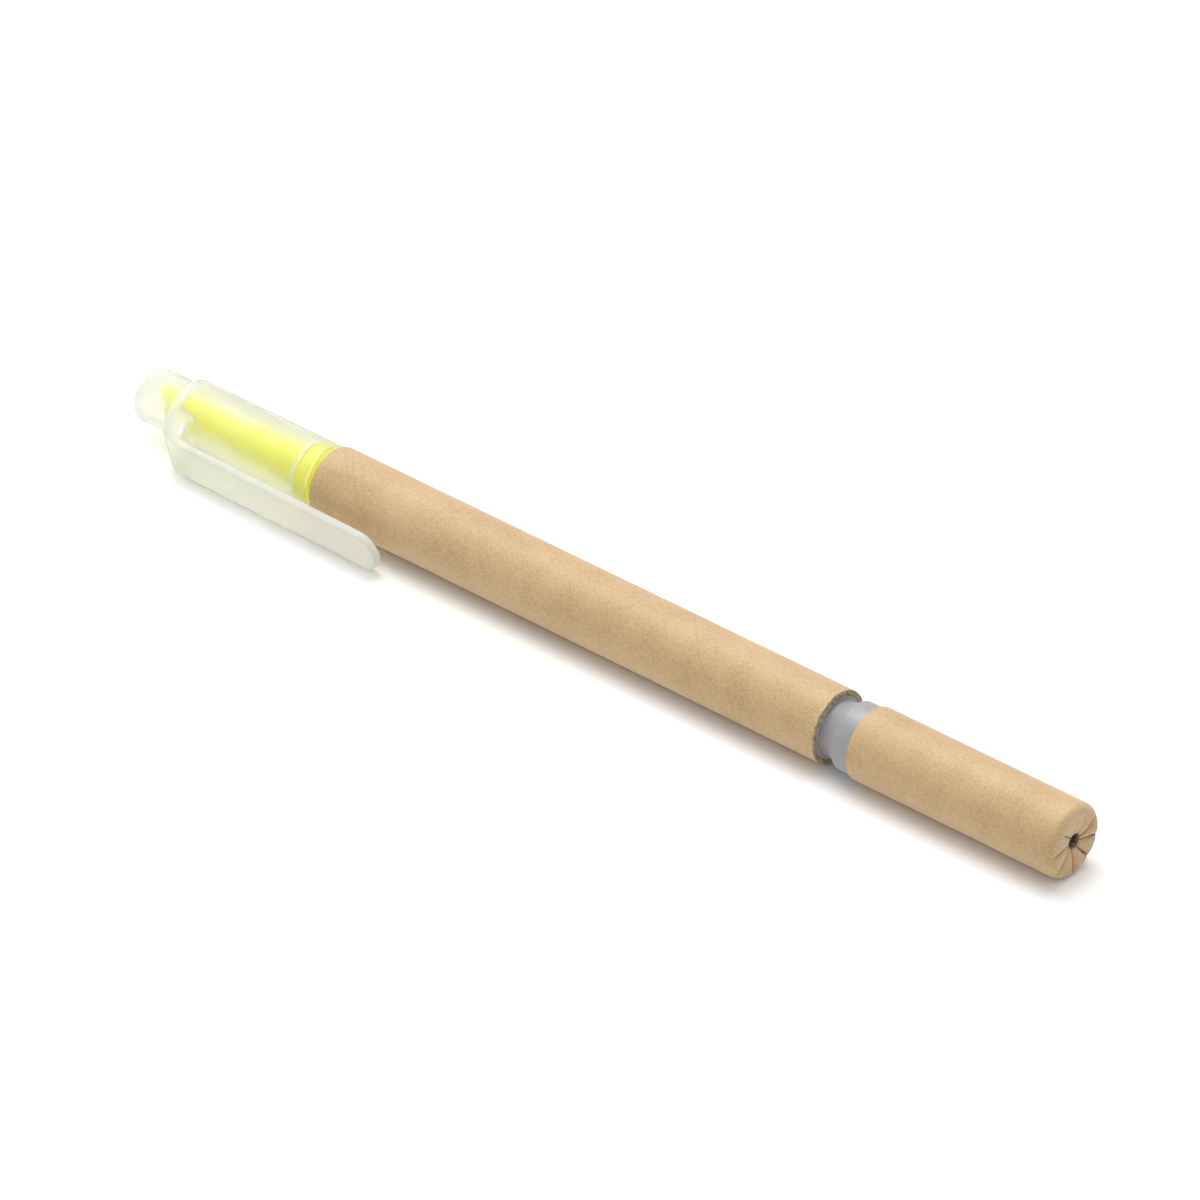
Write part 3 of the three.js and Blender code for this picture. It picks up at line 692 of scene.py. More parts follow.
# Painted shade: dark brown for the crease bottoms and the hole in the crimped end
CREASE_PAINTED_SHADE = KraftPaper(
    "kraft_paper_painted_crease_shade", pale="#7E6344", base="#5A4430", deep="#413022", fleck="#2E2118"
)
# Natural polypropylene from a spark-eroded mould: its thin wall is white where it is seen
# slanting, and lets blurred colour through where it is seen straight
FROSTED = Moulded(
    "polypropylene_natural_frosted",
    "#FDFEF7",
    "#FAFBF1",
    roughness=0.6,
    transmission=0.96,
    ior=1.3,
    milk=1.0,
    depth=1.0,
    texture=0.2,
)
# The same plastic where light goes a long way through it or meets an edge: the clip and its
# foot, the shoulder, the step at the seat and the lip are milky
FROSTED_THICK = Moulded(
    "polypropylene_natural_thick",
    "#F8F8F0",
    "#F3F4EA",
    roughness=0.5,
    transmission=0.56,
    ior=1.4,
    # Its glow is painted light, as undyed polypropylene gives none: it brightens the milky parts
    glow=0.05,
    milk=1.0,
    depth=1.8,
    texture=0.2,
)
# Fluorescent pigment sends back more yellow-green than falls on it, so it looks lit
# Its glow is partly the pigment's own and partly painted light that brightens its shaded side
YELLOW = Moulded(
    "polypropylene_fluorescent_yellow", "#CACA28", "#C2C220", roughness=0.32, glow=0.44, milk=0.15
)
# Smoke-tinted polystyrene: a soft broad shine over a grey that light goes into
SMOKE = Moulded(
    "polystyrene_smoke_translucent",
    "#BDBDBF",
    "#B1B1B4",
    roughness=0.42,
    transmission=0.25,
    ior=1.8,
)
# Extruded polypropylene has no mould's texture, so it is glossy and seen through
CLEAR = Moulded(
    "polypropylene_clear_extruded", "#F2F4F4", "#E9ECEC", roughness=0.14, transmission=0.9
)
# Polyethylene is waxy: a soft shine on an even, slightly milky white
WHITE = Moulded("polyethylene_white_moulded", "#EFEFEA", "#E7E7E1", roughness=0.42, milk=0.1)
FELT = Felt("polyester_felt_bonded")
PASTE = Fluid("ballpoint_paste_blue", "#131C55", "#1B2A74")
GREASE = Fluid("follower_grease_clear", "#DAD3AE", "#CEC698")
NICKEL_SILVER = TurnedMetal("nickel_silver_turned", "#CFC9BA", "#B6AF9F")
# Lapped carbide has finer marks than a turned face, so the ball's highlight is sharper
CARBIDE = TurnedMetal("tungsten_carbide_lapped", "#9C9EA3", "#85878D", roughness=0.12, feed=0.03)


# Outlines, meshes and dressing


def soften(corners: Sequence[Corner], closed: bool = True, steps: int = 6) -> list[Point]:
    """Rounds the corners of an outline.

    Args:
        corners: Points of the outline, each with the radius of its round.
        closed: Whether the last point joins the first.
        steps: Segments of each arc.

    Returns:
        The outline's points.
    """
    points: list[Point] = []
    last = len(corners) - 1
    for i, (x, r, radius) in enumerate(corners):
        here = Vector((x, r))
        if radius <= 0 or (not closed and i in (0, last)):
            points.append((x, r))
            continue
        one = Vector(corners[i - 1][:2]) - here
        two = Vector(corners[(i + 1) % len(corners)][:2]) - here
        half = one.angle(two) / 2
        cut = min(radius / math.tan(half), 0.48 * one.length, 0.48 * two.length)
        reach = cut * math.tan(half)
        centre = here + (one.normalized() + two.normalized()).normalized() * reach / math.sin(half)
        first = here + one.normalized() * cut - centre
        final = here + two.normalized() * cut - centre
        begin = math.atan2(first.y, first.x)
        sweep = math.remainder(math.atan2(final.y, final.x) - begin, math.tau)
        for k in range(steps + 1):
            angle = begin + sweep * k / steps
            points.append((centre.x + reach * math.cos(angle), centre.y + reach * math.sin(angle)))
    return points


def divide(
    points: Sequence[Point], longest: float | Callable[[float], float], closed: bool = True
) -> list[Point]:
    """Splits the long stretches of an outline.

    Args:
        points: The outline.
        longest: The longest stretch that stays, in millimetres, or that length by place.
        closed: Whether the last point joins the first.

    Returns:
        The outline with points added.
    """
    made: list[Point] = []
    pairs = zip(points, [*points[1:], points[0]] if closed else points[1:])
    for (x0, r0), (x1, r1) in pairs:
        most = longest((x0 + x1) / 2) if callable(longest) else longest
        parts = max(1, math.ceil(math.hypot(x1 - x0, r1 - r0) / most))
        made += [(x0 + (x1 - x0) * k / parts, r0 + (r1 - r0) * k / parts) for k in range(parts)]
    if not closed:
        made.append(points[-1])
    return made


def as_object(name: str, mesh_data: bmesh.types.BMesh, sharp: float = 40.0) -> Object:
    """Turns a bmesh into a smooth shaded object in the scene.

    Args:
        name: The piece's name.
        mesh_data: The mesh, which is freed.
        sharp: Angle between faces, in degrees, from which an edge is drawn sharp.

    Returns:
        The object.
    """
    bmesh.ops.recalc_face_normals(mesh_data, faces=mesh_data.faces)
    mesh = bpy.data.meshes.new(name)
    mesh_data.to_mesh(mesh)
    mesh_data.free()
    mesh.shade_smooth()
    mesh.set_sharp_from_angle(angle=math.radians(sharp))
    piece = bpy.data.objects.new(name, mesh)
    bpy.context.scene.collection.objects.link(piece)
    return piece


def turned(
    name: str,
    outline: Sequence[Point],
    sides: int = 128,
    closed: bool = True,
    lift: Lift | None = None,
) -> Object:
    """Turns an outline about the pen's axis.

    Args:
        name: The piece's name.
        outline: Points of the outline. A point at r = 0 becomes a pole.
        sides: Facets round the pen.
        closed: Whether the last point joins the first.
        lift: Moves each point of the surface, or None for a true turned surface.

    Returns:
        The piece.
    """
    made = bmesh.new()
    rings: list[list[bmesh.types.BMVert]] = []
    for x, r in outline:
        ring = []
        for k in range(sides if r > 0 else 1):
            turn = math.tau * k / sides
            px, pr = lift(x, r, turn) if lift and r > 0 else (x, r)
            ring.append(made.verts.new(PEN.at(px, pr * math.cos(turn), pr * math.sin(turn))))
        rings.append(ring)
    pairs = list(zip(rings, rings[1:])) + ([(rings[-1], rings[0])] if closed else [])
    for low, high in pairs:
        for k in range(sides if len(low) + len(high) > 2 else 0):
            n = (k + 1) % sides
            corners = [
                low[k % len(low)],
                low[n % len(low)],
                high[n % len(high)],
                high[k % len(high)],
            ]
            made.faces.new(dict.fromkeys(corners))
    piece = as_object(name, made)
    even = piece.modifiers.new("even_shading", "WEIGHTED_NORMAL")
    even.keep_sharp = True
    return piece


def dress(piece: Object, body: Body, slot: str, finish: Finish, *nodes: str) -> None:
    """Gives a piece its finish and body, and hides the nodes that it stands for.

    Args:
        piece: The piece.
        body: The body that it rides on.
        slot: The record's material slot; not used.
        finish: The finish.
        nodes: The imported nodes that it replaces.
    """
    piece.data.materials.append(finish.material())
    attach(piece, body.value)
    if nodes:
        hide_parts(*nodes)
    LOG.info("%s: %d faces, %s", piece.name, len(piece.data.polygons), finish.name)


def refinish(node: str, finish: Finish) -> Object:
    """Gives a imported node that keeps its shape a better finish.

    Args:
        node: The node's name.
        finish: The finish.

    Returns:
        The node's object.
    """
    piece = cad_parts[node]
    piece.data.materials.clear()
    piece.data.materials.append(finish.material())
    LOG.info("%s keeps its shape, %s", node, finish.name)
    return piece


def ripple(x: float, turn: float, size: float, seed: float) -> float:
    """Gives smooth noise between about -1 and 1 on a cylinder round the pen.

    Args:
        x: Place along the pen, in millimetres.
        turn: Angle about it, in radians.
        size: Size of the ripples, in millimetres on the barrel's surface.
        seed: Another value gives another pattern.

    Returns:
        The noise.
    """
    reach = 4.7 / size
    return noise.noise(Vector((x / size + seed, reach * math.cos(turn), reach * math.sin(turn))))


# The pen's sub-assemblies


@dataclass
class PaperBarrel:
    """The spirally wound paper tube with its sawn ends."""

    length: float = 81.0
    radius: float = 4.75
    bore: float = 4.05
    edge: float = 0.14
    sag: float = 0.035  # how far the wound surface falls short of a true cylinder
    wave: float = 7.0  # length of the waves in the wound surface
    tear: float = 0.22  # depth of the sawn ends' roughness
    fibre: float = 0.35  # size of the torn tufts on them
    fine_end: float = 0.6  # length at each end that has a finer mesh
    sides: int = 256

    def surface(self, x: float, r: float, turn: float) -> Point:
        """Moves a point of the tube: waves along the outside, torn fibres on the ends.

        Args:
            x: Along the pen.
            r: From its axis.
            turn: About it, in radians.

        Returns:
            The moved x and r.
        """
        middle = (self.radius + self.bore) / 2
        if r > middle:
            r -= self.sag * (0.5 + 0.5 * ripple(x, turn, self.wave, 0.0))
        end = min(x, self.length - x)
        if end < self.edge and self.bore < r:
            depth = self.tear * (0.5 + 0.5 * ripple(x * 3 + r * 4, turn, self.fibre, 40.0))
            x += depth if x < self.length / 2 else -depth
        return x, r

    def build(self) -> None:
        """Builds and dresses the tube."""
        near = self.fine_end
        far = self.length - near
        corners = [
            (0.0, self.bore, 0.0),
            (0.0, self.radius, self.edge),
            (near, self.radius, 0.0),
            (far, self.radius, 0.0),
            (self.length, self.radius, self.edge),
            (self.length, self.bore, 0.0),
        ]
        outline = divide(soften(corners), lambda x: 0.6 if near < x < far else 0.1)
        tube = turned("kraft_barrel", outline, self.sides, lift=self.surface)
        dress(tube, Body.BARREL, "kraft_paper", WOUND_KRAFT, "barrel_tube")
        tube.data.materials.append(SAWN_EDGE.material())
        ends_x = (PEN.at(0, 0, 0).x, PEN.at(self.length, 0, 0).x)
        for face in tube.data.polygons:
            sawn = min(abs(face.center.x - x) for x in ends_x) < 2 * self.tear * MM
            if sawn and abs(face.normal.x) > 0.35:
                face.material_index = 1


@dataclass
class HighlighterModule:
    """The yellow section that plugs into the barrel, with its holder and chisel nib.

    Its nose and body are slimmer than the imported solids', so that the blurred core looks as
    wide through the frosted cap as the real one.
    """

    plug_radius: float = 4.0
    plug_bore: float = 3.5
    plug_end: float = 8.0
    plug_chamfer: float = 0.4
    flange_radius: float = 4.33
    flange_front: float = -0.85
    end_gap: float = 0.03  # between end faces that meet
    collar_radius: float = 3.9
    collar_front: float = -3.35
    groove_front: float = -1.85
    groove_back: float = -1.35
    groove_depth: float = 0.16
    body_radius: float = 2.35
    body_back_radius: float = 2.7
    body_front: float = -14.65
    body_bore: float = 1.85
    front_radius: float = 1.95
    front_bore: float = 1.7
    front: float = -20.25
    holder_radius: float = 2.15
    holder_front: float = -25.45
    spigot_radius: float = 1.65
    spigot_length: float = 4.6
    nib_radius: float = 1.75
    nib_seat: float = 3.4  # length in the holder
    nib_tail_radius: float = 1.2
    nib_tail_end: float = 3.53  # inside the ink reservoir
    nib_tip: float = -29.45
    nib_edge: float = 0.9
    nib_slant: float = 1.1
    nib_bevel: float = 2.9
    press_fit: float = 0.05  # between a rod and its bore

    def build(self) -> None:
        """Builds and dresses the section, holder and nib."""
        dress(self.section(), Body.BARREL, "yellow_plastic", YELLOW, "highlighter_section")
        dress(self.holder(), Body.BARREL, "yellow_plastic", YELLOW, "nib_holder")
        dress(self.nib(), Body.BARREL, "yellow_felt", FELT, "highlighter_nib")
        refinish("ink_reservoir", FELT)
        refinish("reservoir_film", CLEAR)
        refinish("ink_tube", WHITE)
        refinish("ink_tube_plug", WHITE)

    def section(self) -> Object:
        """Returns the section: nose, tapered body, grooved collar, flange and hollow plug."""
        groove = self.collar_radius - self.groove_depth
        spigot_end = self.front + self.spigot_length
        corners = [
            (self.front, self.front_bore, 0.1),
            (self.front, self.front_radius, 0.18),
            (self.body_front, self.front_radius, 0.12),
            (self.body_front + 0.4, self.body_radius, 0.15),
            (self.collar_front, self.body_back_radius, 0.12),
            (self.collar_front, groove, 0.05),
            (self.collar_front + self.groove_depth, self.collar_radius, 0.08),
            (self.groove_front, self.collar_radius, 0.08),
            (self.groove_front, groove, 0.06),
            (self.groove_back, groove, 0.06),
            (self.groove_back, self.collar_radius, 0.08),
            (self.flange_front, self.collar_radius, 0.06),
            (self.flange_front, self.flange_radius, 0.1),
            (-self.end_gap, self.flange_radius, 0.08),
            (-self.end_gap, self.plug_radius, 0.0),
            (self.plug_end - self.plug_chamfer, self.plug_radius, 0.1),
            (self.plug_end, self.plug_radius - self.plug_chamfer, 0.1),
            (self.plug_end, self.plug_bore, 0.05),
            (0.0, self.plug_bore, 0.0),
            (0.0, self.body_bore, 0.0),
            (self.body_front + 0.8, self.body_bore, 0.0),
            (spigot_end + self.press_fit, self.front_bore, 0.0),
        ]
        return turned("yellow_section", divide(soften(corners), 2.0))

    def holder(self) -> Object:
        """Returns the nib's holder, a sleeve with a slim spigot."""
        front = self.holder_front
        back = self.front - self.end_gap
        spigot_end = self.front + self.spigot_length
        seat_bore = self.nib_radius + self.press_fit
        tail_bore = self.nib_tail_radius + self.press_fit
        seat_end = front + self.nib_seat + self.press_fit
        corners = [
            (front, seat_bore, 0.08),
            (front, self.holder_radius - 0.1, 0.25),
            (front + 0.4, self.holder_radius, 0.2),
            (back, self.holder_radius, 0.1),
            (back, self.spigot_radius, 0.05),
            (spigot_end, self.spigot_radius, 0.1),
            (spigot_end, tail_bore, 0.05),
            (seat_end, tail_bore, 0.0),
            (seat_end, seat_bore, 0.0),
        ]
        return turned("yellow_nib_holder", divide(soften(corners), 1.5), 96)

    def nib(self) -> Object:
        """Returns the chisel nib, a stepped rod bevelled on two sides and cut on a slant."""
        made = bmesh.new()
        sides = 96
        stations = 24
        rings: list[list[bmesh.types.BMVert]] = []
        round_over = 0.22  # radius of the writing edge
        seat_end = self.holder_front + self.nib_seat
        tail_end = self.nib_tail_end
        for i in range(stations + 1):
            share = i / stations
            depth = self.nib_bevel * share
            rise = max(0.0, 1 - depth / round_over)
            rounding = round_over * (1 - math.sqrt(max(0.0, 1 - rise**2)))
            half = self.nib_edge / 2 + (self.nib_radius - self.nib_edge / 2) * share - rounding
            limit = self.nib_radius - rounding
            ring = []
            for k in range(sides):
                turn = math.tau * k / sides
                y = max(-half, min(half, limit * math.cos(turn)))
                z = limit * math.sin(turn)
                lean = self.nib_slant * (self.nib_radius - z) / (2 * self.nib_radius)
                x = self.nib_tip + depth + lean * (1 - share)
                ring.append(made.verts.new(PEN.at(x, y, z)))
            rings.append(ring)
        for x, r in (
            (seat_end - 0.1, self.nib_radius),
            (seat_end, self.nib_radius - 0.1),
            (seat_end, self.nib_tail_radius),
            (tail_end - 0.1, self.nib_tail_radius),
            (tail_end, self.nib_tail_radius - 0.1),
        ):
            turns = [math.tau * k / sides for k in range(sides)]
            places = [PEN.at(x, r * math.cos(turn), r * math.sin(turn)) for turn in turns]
            rings.append([made.verts.new(place) for place in places])
        for low, high in zip(rings, rings[1:]):
            for k in range(sides):
                n = (k + 1) % sides
                made.faces.new((low[k], low[n], high[n], high[k]))
        made.faces.new(rings[0])
        made.faces.new(rings[-1])
        return as_object("felt_chisel_nib", made, 30.0)


@dataclass
class FrostedCap:
    """The cap over the highlighter, moulded in one piece with its clip."""

    end: float = -31.395
    tail_start: float = -25.55
    body_start: float = -24.30
    seat: float = -3.42
    mouth: float = -0.88
    radius: float = 4.42
    bore: float = 3.6
    mouth_bore: float = 3.95
    tail_radius: float = 3.65
    tail_bore: float = 2.75
    end_wall: float = 1.2
    clip_inner: float = 6.3
    clip_outer: float = 7.47
    clip_lean: float = 0.43  # how much further out the tip stands than the heel
    clip_half: float = 2.93
    clip_tip: float = 13.78
    clip_tip_depth: float = 2.6
    clip_roll: float = 14.3487  # degrees about the pen
    clip_edge: float = 0.36
    foot_end: float = -20.8
    foot_bottom: float = 4.0
    foot_fillet: float = 1.9
    heel_x: float = -19.9  # centre of the heel's oval
    heel_u: float = 3.3
    heel_length: float = 4.4
    spread: float = 0.8  # how much the foot widens down to the cap, each side
    lip: float = 0.45  # length of the milky lip round the mouth
    step: float = 0.22  # half the width of the milky ring at the seat
    voxel: float = 0.11  # mm
    smoothing: int = 5

    def build(self) -> None:
        """Builds the cap's skin, fused in one piece with its clip, and gives it its finishes."""
        skin = self.cup()
        clip = self.clip()
        self.join(skin, clip)
        self.fuse(skin)
        self.outwards(-22.55, 4.5)
        self.outwards(-22.55, 5.6)
        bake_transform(skin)
        skin.data.materials.clear()
        skin.data.materials.append(FROSTED.material())
        skin.data.materials.append(FROSTED_THICK.material())
        for face in skin.data.polygons:
            place = (face.center - PEN.origin) / MM
            face.material_index = int(self.is_milky(place.x, place.yz.length))
        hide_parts("highlighter_cap", "cap_clip")
        LOG.info("%s: %d faces, %s", skin.name, len(skin.data.polygons), FROSTED.name)

    def is_milky(self, x: float, reach: float) -> bool:
        """Tells whether the plastic at a place on the skin is milky, as it is where it is thick.

        Args:
            x: Along the pen.
            reach: Distance from the pen's axis.

        Returns:
            True on the clip, the shoulder, the step at the seat and the lip.
        """
        shoulder = reach < self.bore - 0.1 and self.tail_start < x < self.body_start + 0.9
        inside = reach < self.mouth_bore + 0.15
        step = reach > self.bore and abs(x - self.seat) < self.step
        lip = inside and x > self.mouth - self.lip
        clip = reach > self.radius + 0.02
        return clip or shoulder or step or lip

    def outwards(self, x: float, u: float, v: float = 0.0) -> Vector:
        """Turns a place on the clip to the row frame.

        Args:
            x: Along the pen.
            u: Away from the pen's axis.
            v: Across the clip, up being positive.

        Returns:
            The point, in metres.
        """
        roll = math.radians(self.clip_roll)
        y = -u * math.cos(roll) - v * math.sin(roll)
        z = -u * math.sin(roll) + v * math.cos(roll)
        return PEN.at(x, y, z)

    def cup(self) -> Object:
        """Returns the cap without its clip: a cup with a narrow tail and a thinner mouth."""
        corners = [
            (self.end, 0.0, 0.0),
            (self.end, self.tail_radius, 0.5),
            (self.tail_start - 0.2, self.tail_radius, 0.5),
            (self.body_start - 0.45, self.radius, 0.9),
            (self.mouth, self.radius, 0.3),
            (self.mouth, self.mouth_bore, 0.08),
            (self.seat, self.mouth_bore, 0.05),
            (self.seat, self.bore, 0.1),
            (self.body_start + 0.8, self.bore, 0.5),
            (self.tail_start + 0.9, self.tail_bore, 0.5),
            (self.end + self.end_wall, self.tail_bore, 0.8),
            (self.end + self.end_wall, 0.0, 0.0),
        ]
        outline = divide(soften(corners, closed=False), 0.8, closed=False)
        return turned("frosted_cap_skin", outline, 160, closed=False)

    def stations(self) -> list[tuple[Point, Point, float]]:
        """Works out the clip's cross-sections from its tip to its foot.

        Returns:
            The outer point, the inner point and the half width of each section, with points as
            x and u, the distance from the pen's axis.
        """
        shoulder = self.clip_tip - self.clip_tip_depth
        fillet_start = self.foot_end + self.foot_fillet
        made: list[tuple[Point, Point, float]] = []

        def lean(x: float) -> float:
            """Returns how far the blade stands out at a place, beyond its heel."""
            return self.clip_lean * (x - self.heel_x) / (self.clip_tip - self.heel_x)

        tip_steps, blade_steps, heel_steps = 14, 60, 24
        quarter = math.pi / 2
        blade = [
            shoulder + self.clip_tip_depth * math.cos(quarter * k / tip_steps)
            for k in range(tip_steps)
        ]
        length = shoulder - fillet_start
        blade += [shoulder - length * k / blade_steps for k in range(blade_steps)]
        for x in blade:
            late = max(0.0, (x - shoulder) / self.clip_tip_depth)
            half = self.clip_half * max(0.05, math.sqrt(max(0.0, 1 - late * late)))
            outer = (x, self.clip_outer + lean(x))
            made.append((outer, (x, self.clip_inner + lean(x)), half))
        depth = self.clip_outer - self.heel_u
        last = math.acos((self.foot_bottom - self.heel_u) / depth)
        # The inner round is done when the heel outside has gone this share of its way
        bent = 0.8
        drop = self.clip_inner - self.foot_fillet - self.foot_bottom
        for k in range(heel_steps + 1):
            share = k / heel_steps
            turn = last * share
            x = self.heel_x - self.heel_length * math.sin(turn)
            outer = (x, self.heel_u + depth * math.cos(turn))
            bend = quarter * min(1.0, share / bent)
            fall = max(0.0, share - bent) / (1 - bent) * drop
            inner = (
                fillet_start - self.foot_fillet * math.sin(bend),
                self.clip_inner - self.foot_fillet * (1 - math.cos(bend)) - fall,
            )
            made.append((outer, inner, self.clip_half))
        return made

    def clip(self) -> Object:
        """Returns the clip, lofted from its tip to a foot that spreads over the cap's wall."""
        made = bmesh.new()
        rings: list[list[bmesh.types.BMVert]] = []
        for outer, inner, half in self.stations():
            across = Vector(outer) - Vector(inner)
            edge = min(self.clip_edge, 0.4 * half)
            face = soften(
                [
                    (-half, 0.0, edge),
                    (half, 0.0, edge),
                    (half, across.length, edge),
                    (-half, across.length, edge),
                ],
                steps=4,
            )
            ring = []
            for v, height in face:
                x, u = Vector(inner) + across.normalized() * height
                ring.append(made.verts.new(self.rooted(x, u, v)))
            rings.append(ring)
        for low, high in zip(rings, rings[1:]):
            for k, corner in enumerate(low):
                n = (k + 1) % len(low)
                made.faces.new((corner, low[n], high[n], high[k]))
        made.faces.new(rings[0])
        made.faces.new(rings[-1])
        return as_object("clip_blank", made)

    def rooted(self, x: float, u: float, v: float) -> Vector:
        """Turns a place on the clip to the row frame, with the foot spread over the cap.

        Args:
            x: Along the pen.
            u: Away from the pen's axis.
            v: Across the clip.

        Returns:
            The point, in metres.
        """
        top = self.clip_inner - 0.4
        share = max(0.0, (top - u) / (top - self.foot_bottom))
        v *= 1 + self.spread / self.clip_half * share**1.6
        floor = math.sqrt(max(0.0, self.foot_bottom**2 - v * v))
        return self.outwards(x, u + (floor - self.foot_bottom) * share, v)

    def join(self, skin: Object, clip: Object) -> None:
        """Adds the clip's mesh to the cap's.

        Args:
            skin: The cap, which keeps the result.
            clip: The clip, which is removed.
        """
        made = bmesh.new()
        made.from_mesh(skin.data)
        made.from_mesh(clip.data)
        made.to_mesh(skin.data)
        made.free()
        bpy.data.objects.remove(clip)

    def fuse(self, skin: Object) -> None:
        """Makes one closed skin of the overlapping meshes and rounds its corners.

        Args:
            skin: The piece, whose modifiers are replaced.
        """
        skin.modifiers.clear()
        remesh = skin.modifiers.new("fuse", "REMESH")
        remesh.mode = "VOXEL"
        remesh.voxel_size = self.voxel * MM
        remesh.use_smooth_shade = True
        smooth = skin.modifiers.new("fillets", "SMOOTH")
        smooth.factor = 0.5
        smooth.iterations = self.smoothing
        graph = bpy.context.evaluated_depsgraph_get()
        fused = bpy.data.meshes.new_from_object(skin.evaluated_get(graph))
        skin.modifiers.clear()
        skin.data = fused
        fused.name = skin.name
        fused.shade_smooth()


@dataclass
class BallpointModule:
    """The smoke-grey section that plugs into the barrel, with its refill and tip."""

    plug_rear: float = 71.0
    barrel_end: float = 81.0
    neck_radius: float = 3.85
    neck_front: float = 85.5
    neck_waist: float = 0.3  # how much slimmer the neck is where it leaves the barrel
    grip_start: float = 86.1
    grip_radius: float = 3.25
    grip_length: float = 12.4
    rings: int = 4
    ring_depth: float = 0.12
    nose_length: float = 10.8
    nose_radius: float = 1.75
    nose_bulge: float = 0.35
    land: float = 1.2
    land_length: float = 2.9
    bore: float = 1.6
    plug_radius: float = 4.0
    plug_bore: float = 3.2
    web: float = 3.0
    tip_rear: float = 102.82
    tip_spigot: float = 1.08
    tip_flange: float = 1.55
    tip_flange_start: float = 106.05
    tip_flange_end: float = 106.37
    tip_body: float = 1.15
    tip_channel: float = 0.22
    cone_start: float = 110.7
    cone_end_radius: float = 0.52
    tip_lip: float = 112.95
    socket: float = 0.37  # radius round the ball
    socket_start: float = 112.38
    socket_end: float = 112.75

    def build(self) -> None:
        """Builds and dresses the section and the tip, and finishes the refill's nodes."""
        dress(self.section(), Body.BARREL, "grey_plastic", SMOKE, "pen_section")
        dress(self.tip(), Body.BARREL, "nickel_silver", NICKEL_SILVER, "tip_cone")
        refinish("refill_tube", CLEAR)
        refinish("refill_ink", PASTE)
        refinish("refill_follower", GREASE)
        ball = refinish("tip_ball", CARBIDE)
        ball.data.shade_smooth()

    def section(self) -> Object:
        """Returns the section: hollow plug, neck, ringed grip and curved nose."""
        grip_end = self.grip_start + self.grip_length
        nose_end = grip_end + self.nose_length
        corners: list[Corner] = [
            (self.plug_rear, self.plug_bore, 0.1),
            (self.plug_rear, self.plug_radius - 0.4, 0.1),
            (self.plug_rear + 0.4, self.plug_radius, 0.1),
            (self.barrel_end - 0.03, self.plug_radius, 0.03),
            (self.barrel_end - 0.03, self.neck_radius - self.neck_waist, 0.03),
            (self.barrel_end + 0.6, self.neck_radius - self.neck_waist, 0.8),
            (self.barrel_end + 2.2, self.neck_radius, 1.2),
            (self.neck_front, self.neck_radius, 0.12),
            (self.grip_start, self.grip_radius, 0.12),
        ]
        pitch = self.grip_length / (2 * self.rings + 1)
        for i in range(self.rings):
            start = self.grip_start + pitch * (2 * i + 1)
            depth = self.ring_depth
            corners += [
                (start, self.grip_radius, 0.15),
                (start + depth, self.grip_radius - depth, 0.15),
                (start + pitch - depth, self.grip_radius - depth, 0.15),
                (start + pitch, self.grip_radius, 0.15),
            ]
        steps = 16
        for i in range(steps + 1):
            t = i / steps
            bulge = self.nose_bulge * math.sin(math.pi * t)
            r = self.grip_radius + (self.nose_radius - self.grip_radius) * t + bulge
            corners.append((grip_end + self.nose_length * t, r, 0.12 if i == steps else 0.0))
        web_start = self.barrel_end - self.web
        corners += [
            (nose_end, self.land, 0.08),
            (nose_end - self.land_length, self.land, 0.0),
            (nose_end - self.land_length, self.bore, 0.0),
            (web_start, self.bore, 0.0),
            (web_start, self.plug_bore, 0.0),
        ]
        return turned("smoke_section", divide(soften(corners, steps=4), 1.5))

    def tip(self) -> Object:
        """Returns the metal tip with its cone and the socket that holds the ball."""
        corners = [
            (self.tip_rear, self.tip_channel, 0.0),
            (self.tip_rear, self.tip_spigot, 0.08),
            (self.tip_flange_start, self.tip_spigot, 0.0),
            (self.tip_flange_start, self.tip_flange, 0.05),
            (self.tip_flange_end, self.tip_flange, 0.05),
            (self.tip_flange_end, self.tip_body, 0.0),
            (self.cone_start, self.tip_body, 0.1),
            (self.tip_lip - 0.55, self.cone_end_radius, 0.2),
            (self.tip_lip, 0.41, 0.04),
            (self.tip_lip, 0.312, 0.0),
            (self.socket_end, self.socket, 0.0),
            (self.socket_start, self.socket, 0.0),
            (self.socket_start, self.tip_channel, 0.0),
        ]
        return turned("nickel_silver_tip", divide(soften(corners), 1.0), 96)


@dataclass(frozen=True)
class Crease:
    """One fold line on the crimped end, as points of angle in degrees and radius in mm."""

    path: tuple[tuple[float, float], ...]
    depth: float
    width: float = 0.09
    shade: float = 0.5  # share of the width painted dark at the bottom, as shade


CREASES = (
    Crease(((122, 0.75), (130, 1.6), (138, 3.0)), 0.55),
    Crease(((187, 0.75), (185, 2.4), (184, 3.7), (184, 4.4)), 0.5),
    Crease(((218, 0.9), (229, 2.6), (226, 3.9), (225, 4.5)), 0.55),
    Crease(((257, 1.1), (270, 2.9), (269, 4.1), (268, 4.6)), 0.6),
    Crease(((301, 1.1), (308, 2.4), (310, 4.2), (310, 4.6)), 0.8, 0.13),
    Crease(((342, 1.2), (345, 2.6), (346, 4.4), (346, 4.7)), 0.65, 0.11),
    Crease(((2, 1.1), (8, 2.0), (16, 3.0), (23, 4.3), (24, 4.6)), 0.55),
    Crease(((47, 0.75), (43, 1.6)), 0.4),
    Crease(((54, 2.0), (54, 2.8), (68, 3.5)), 0.18, 0.2, 0.0),
    Crease(((90, 0.75), (95, 1.5), (97, 2.6)), 0.18, 0.16, 0.0),
)


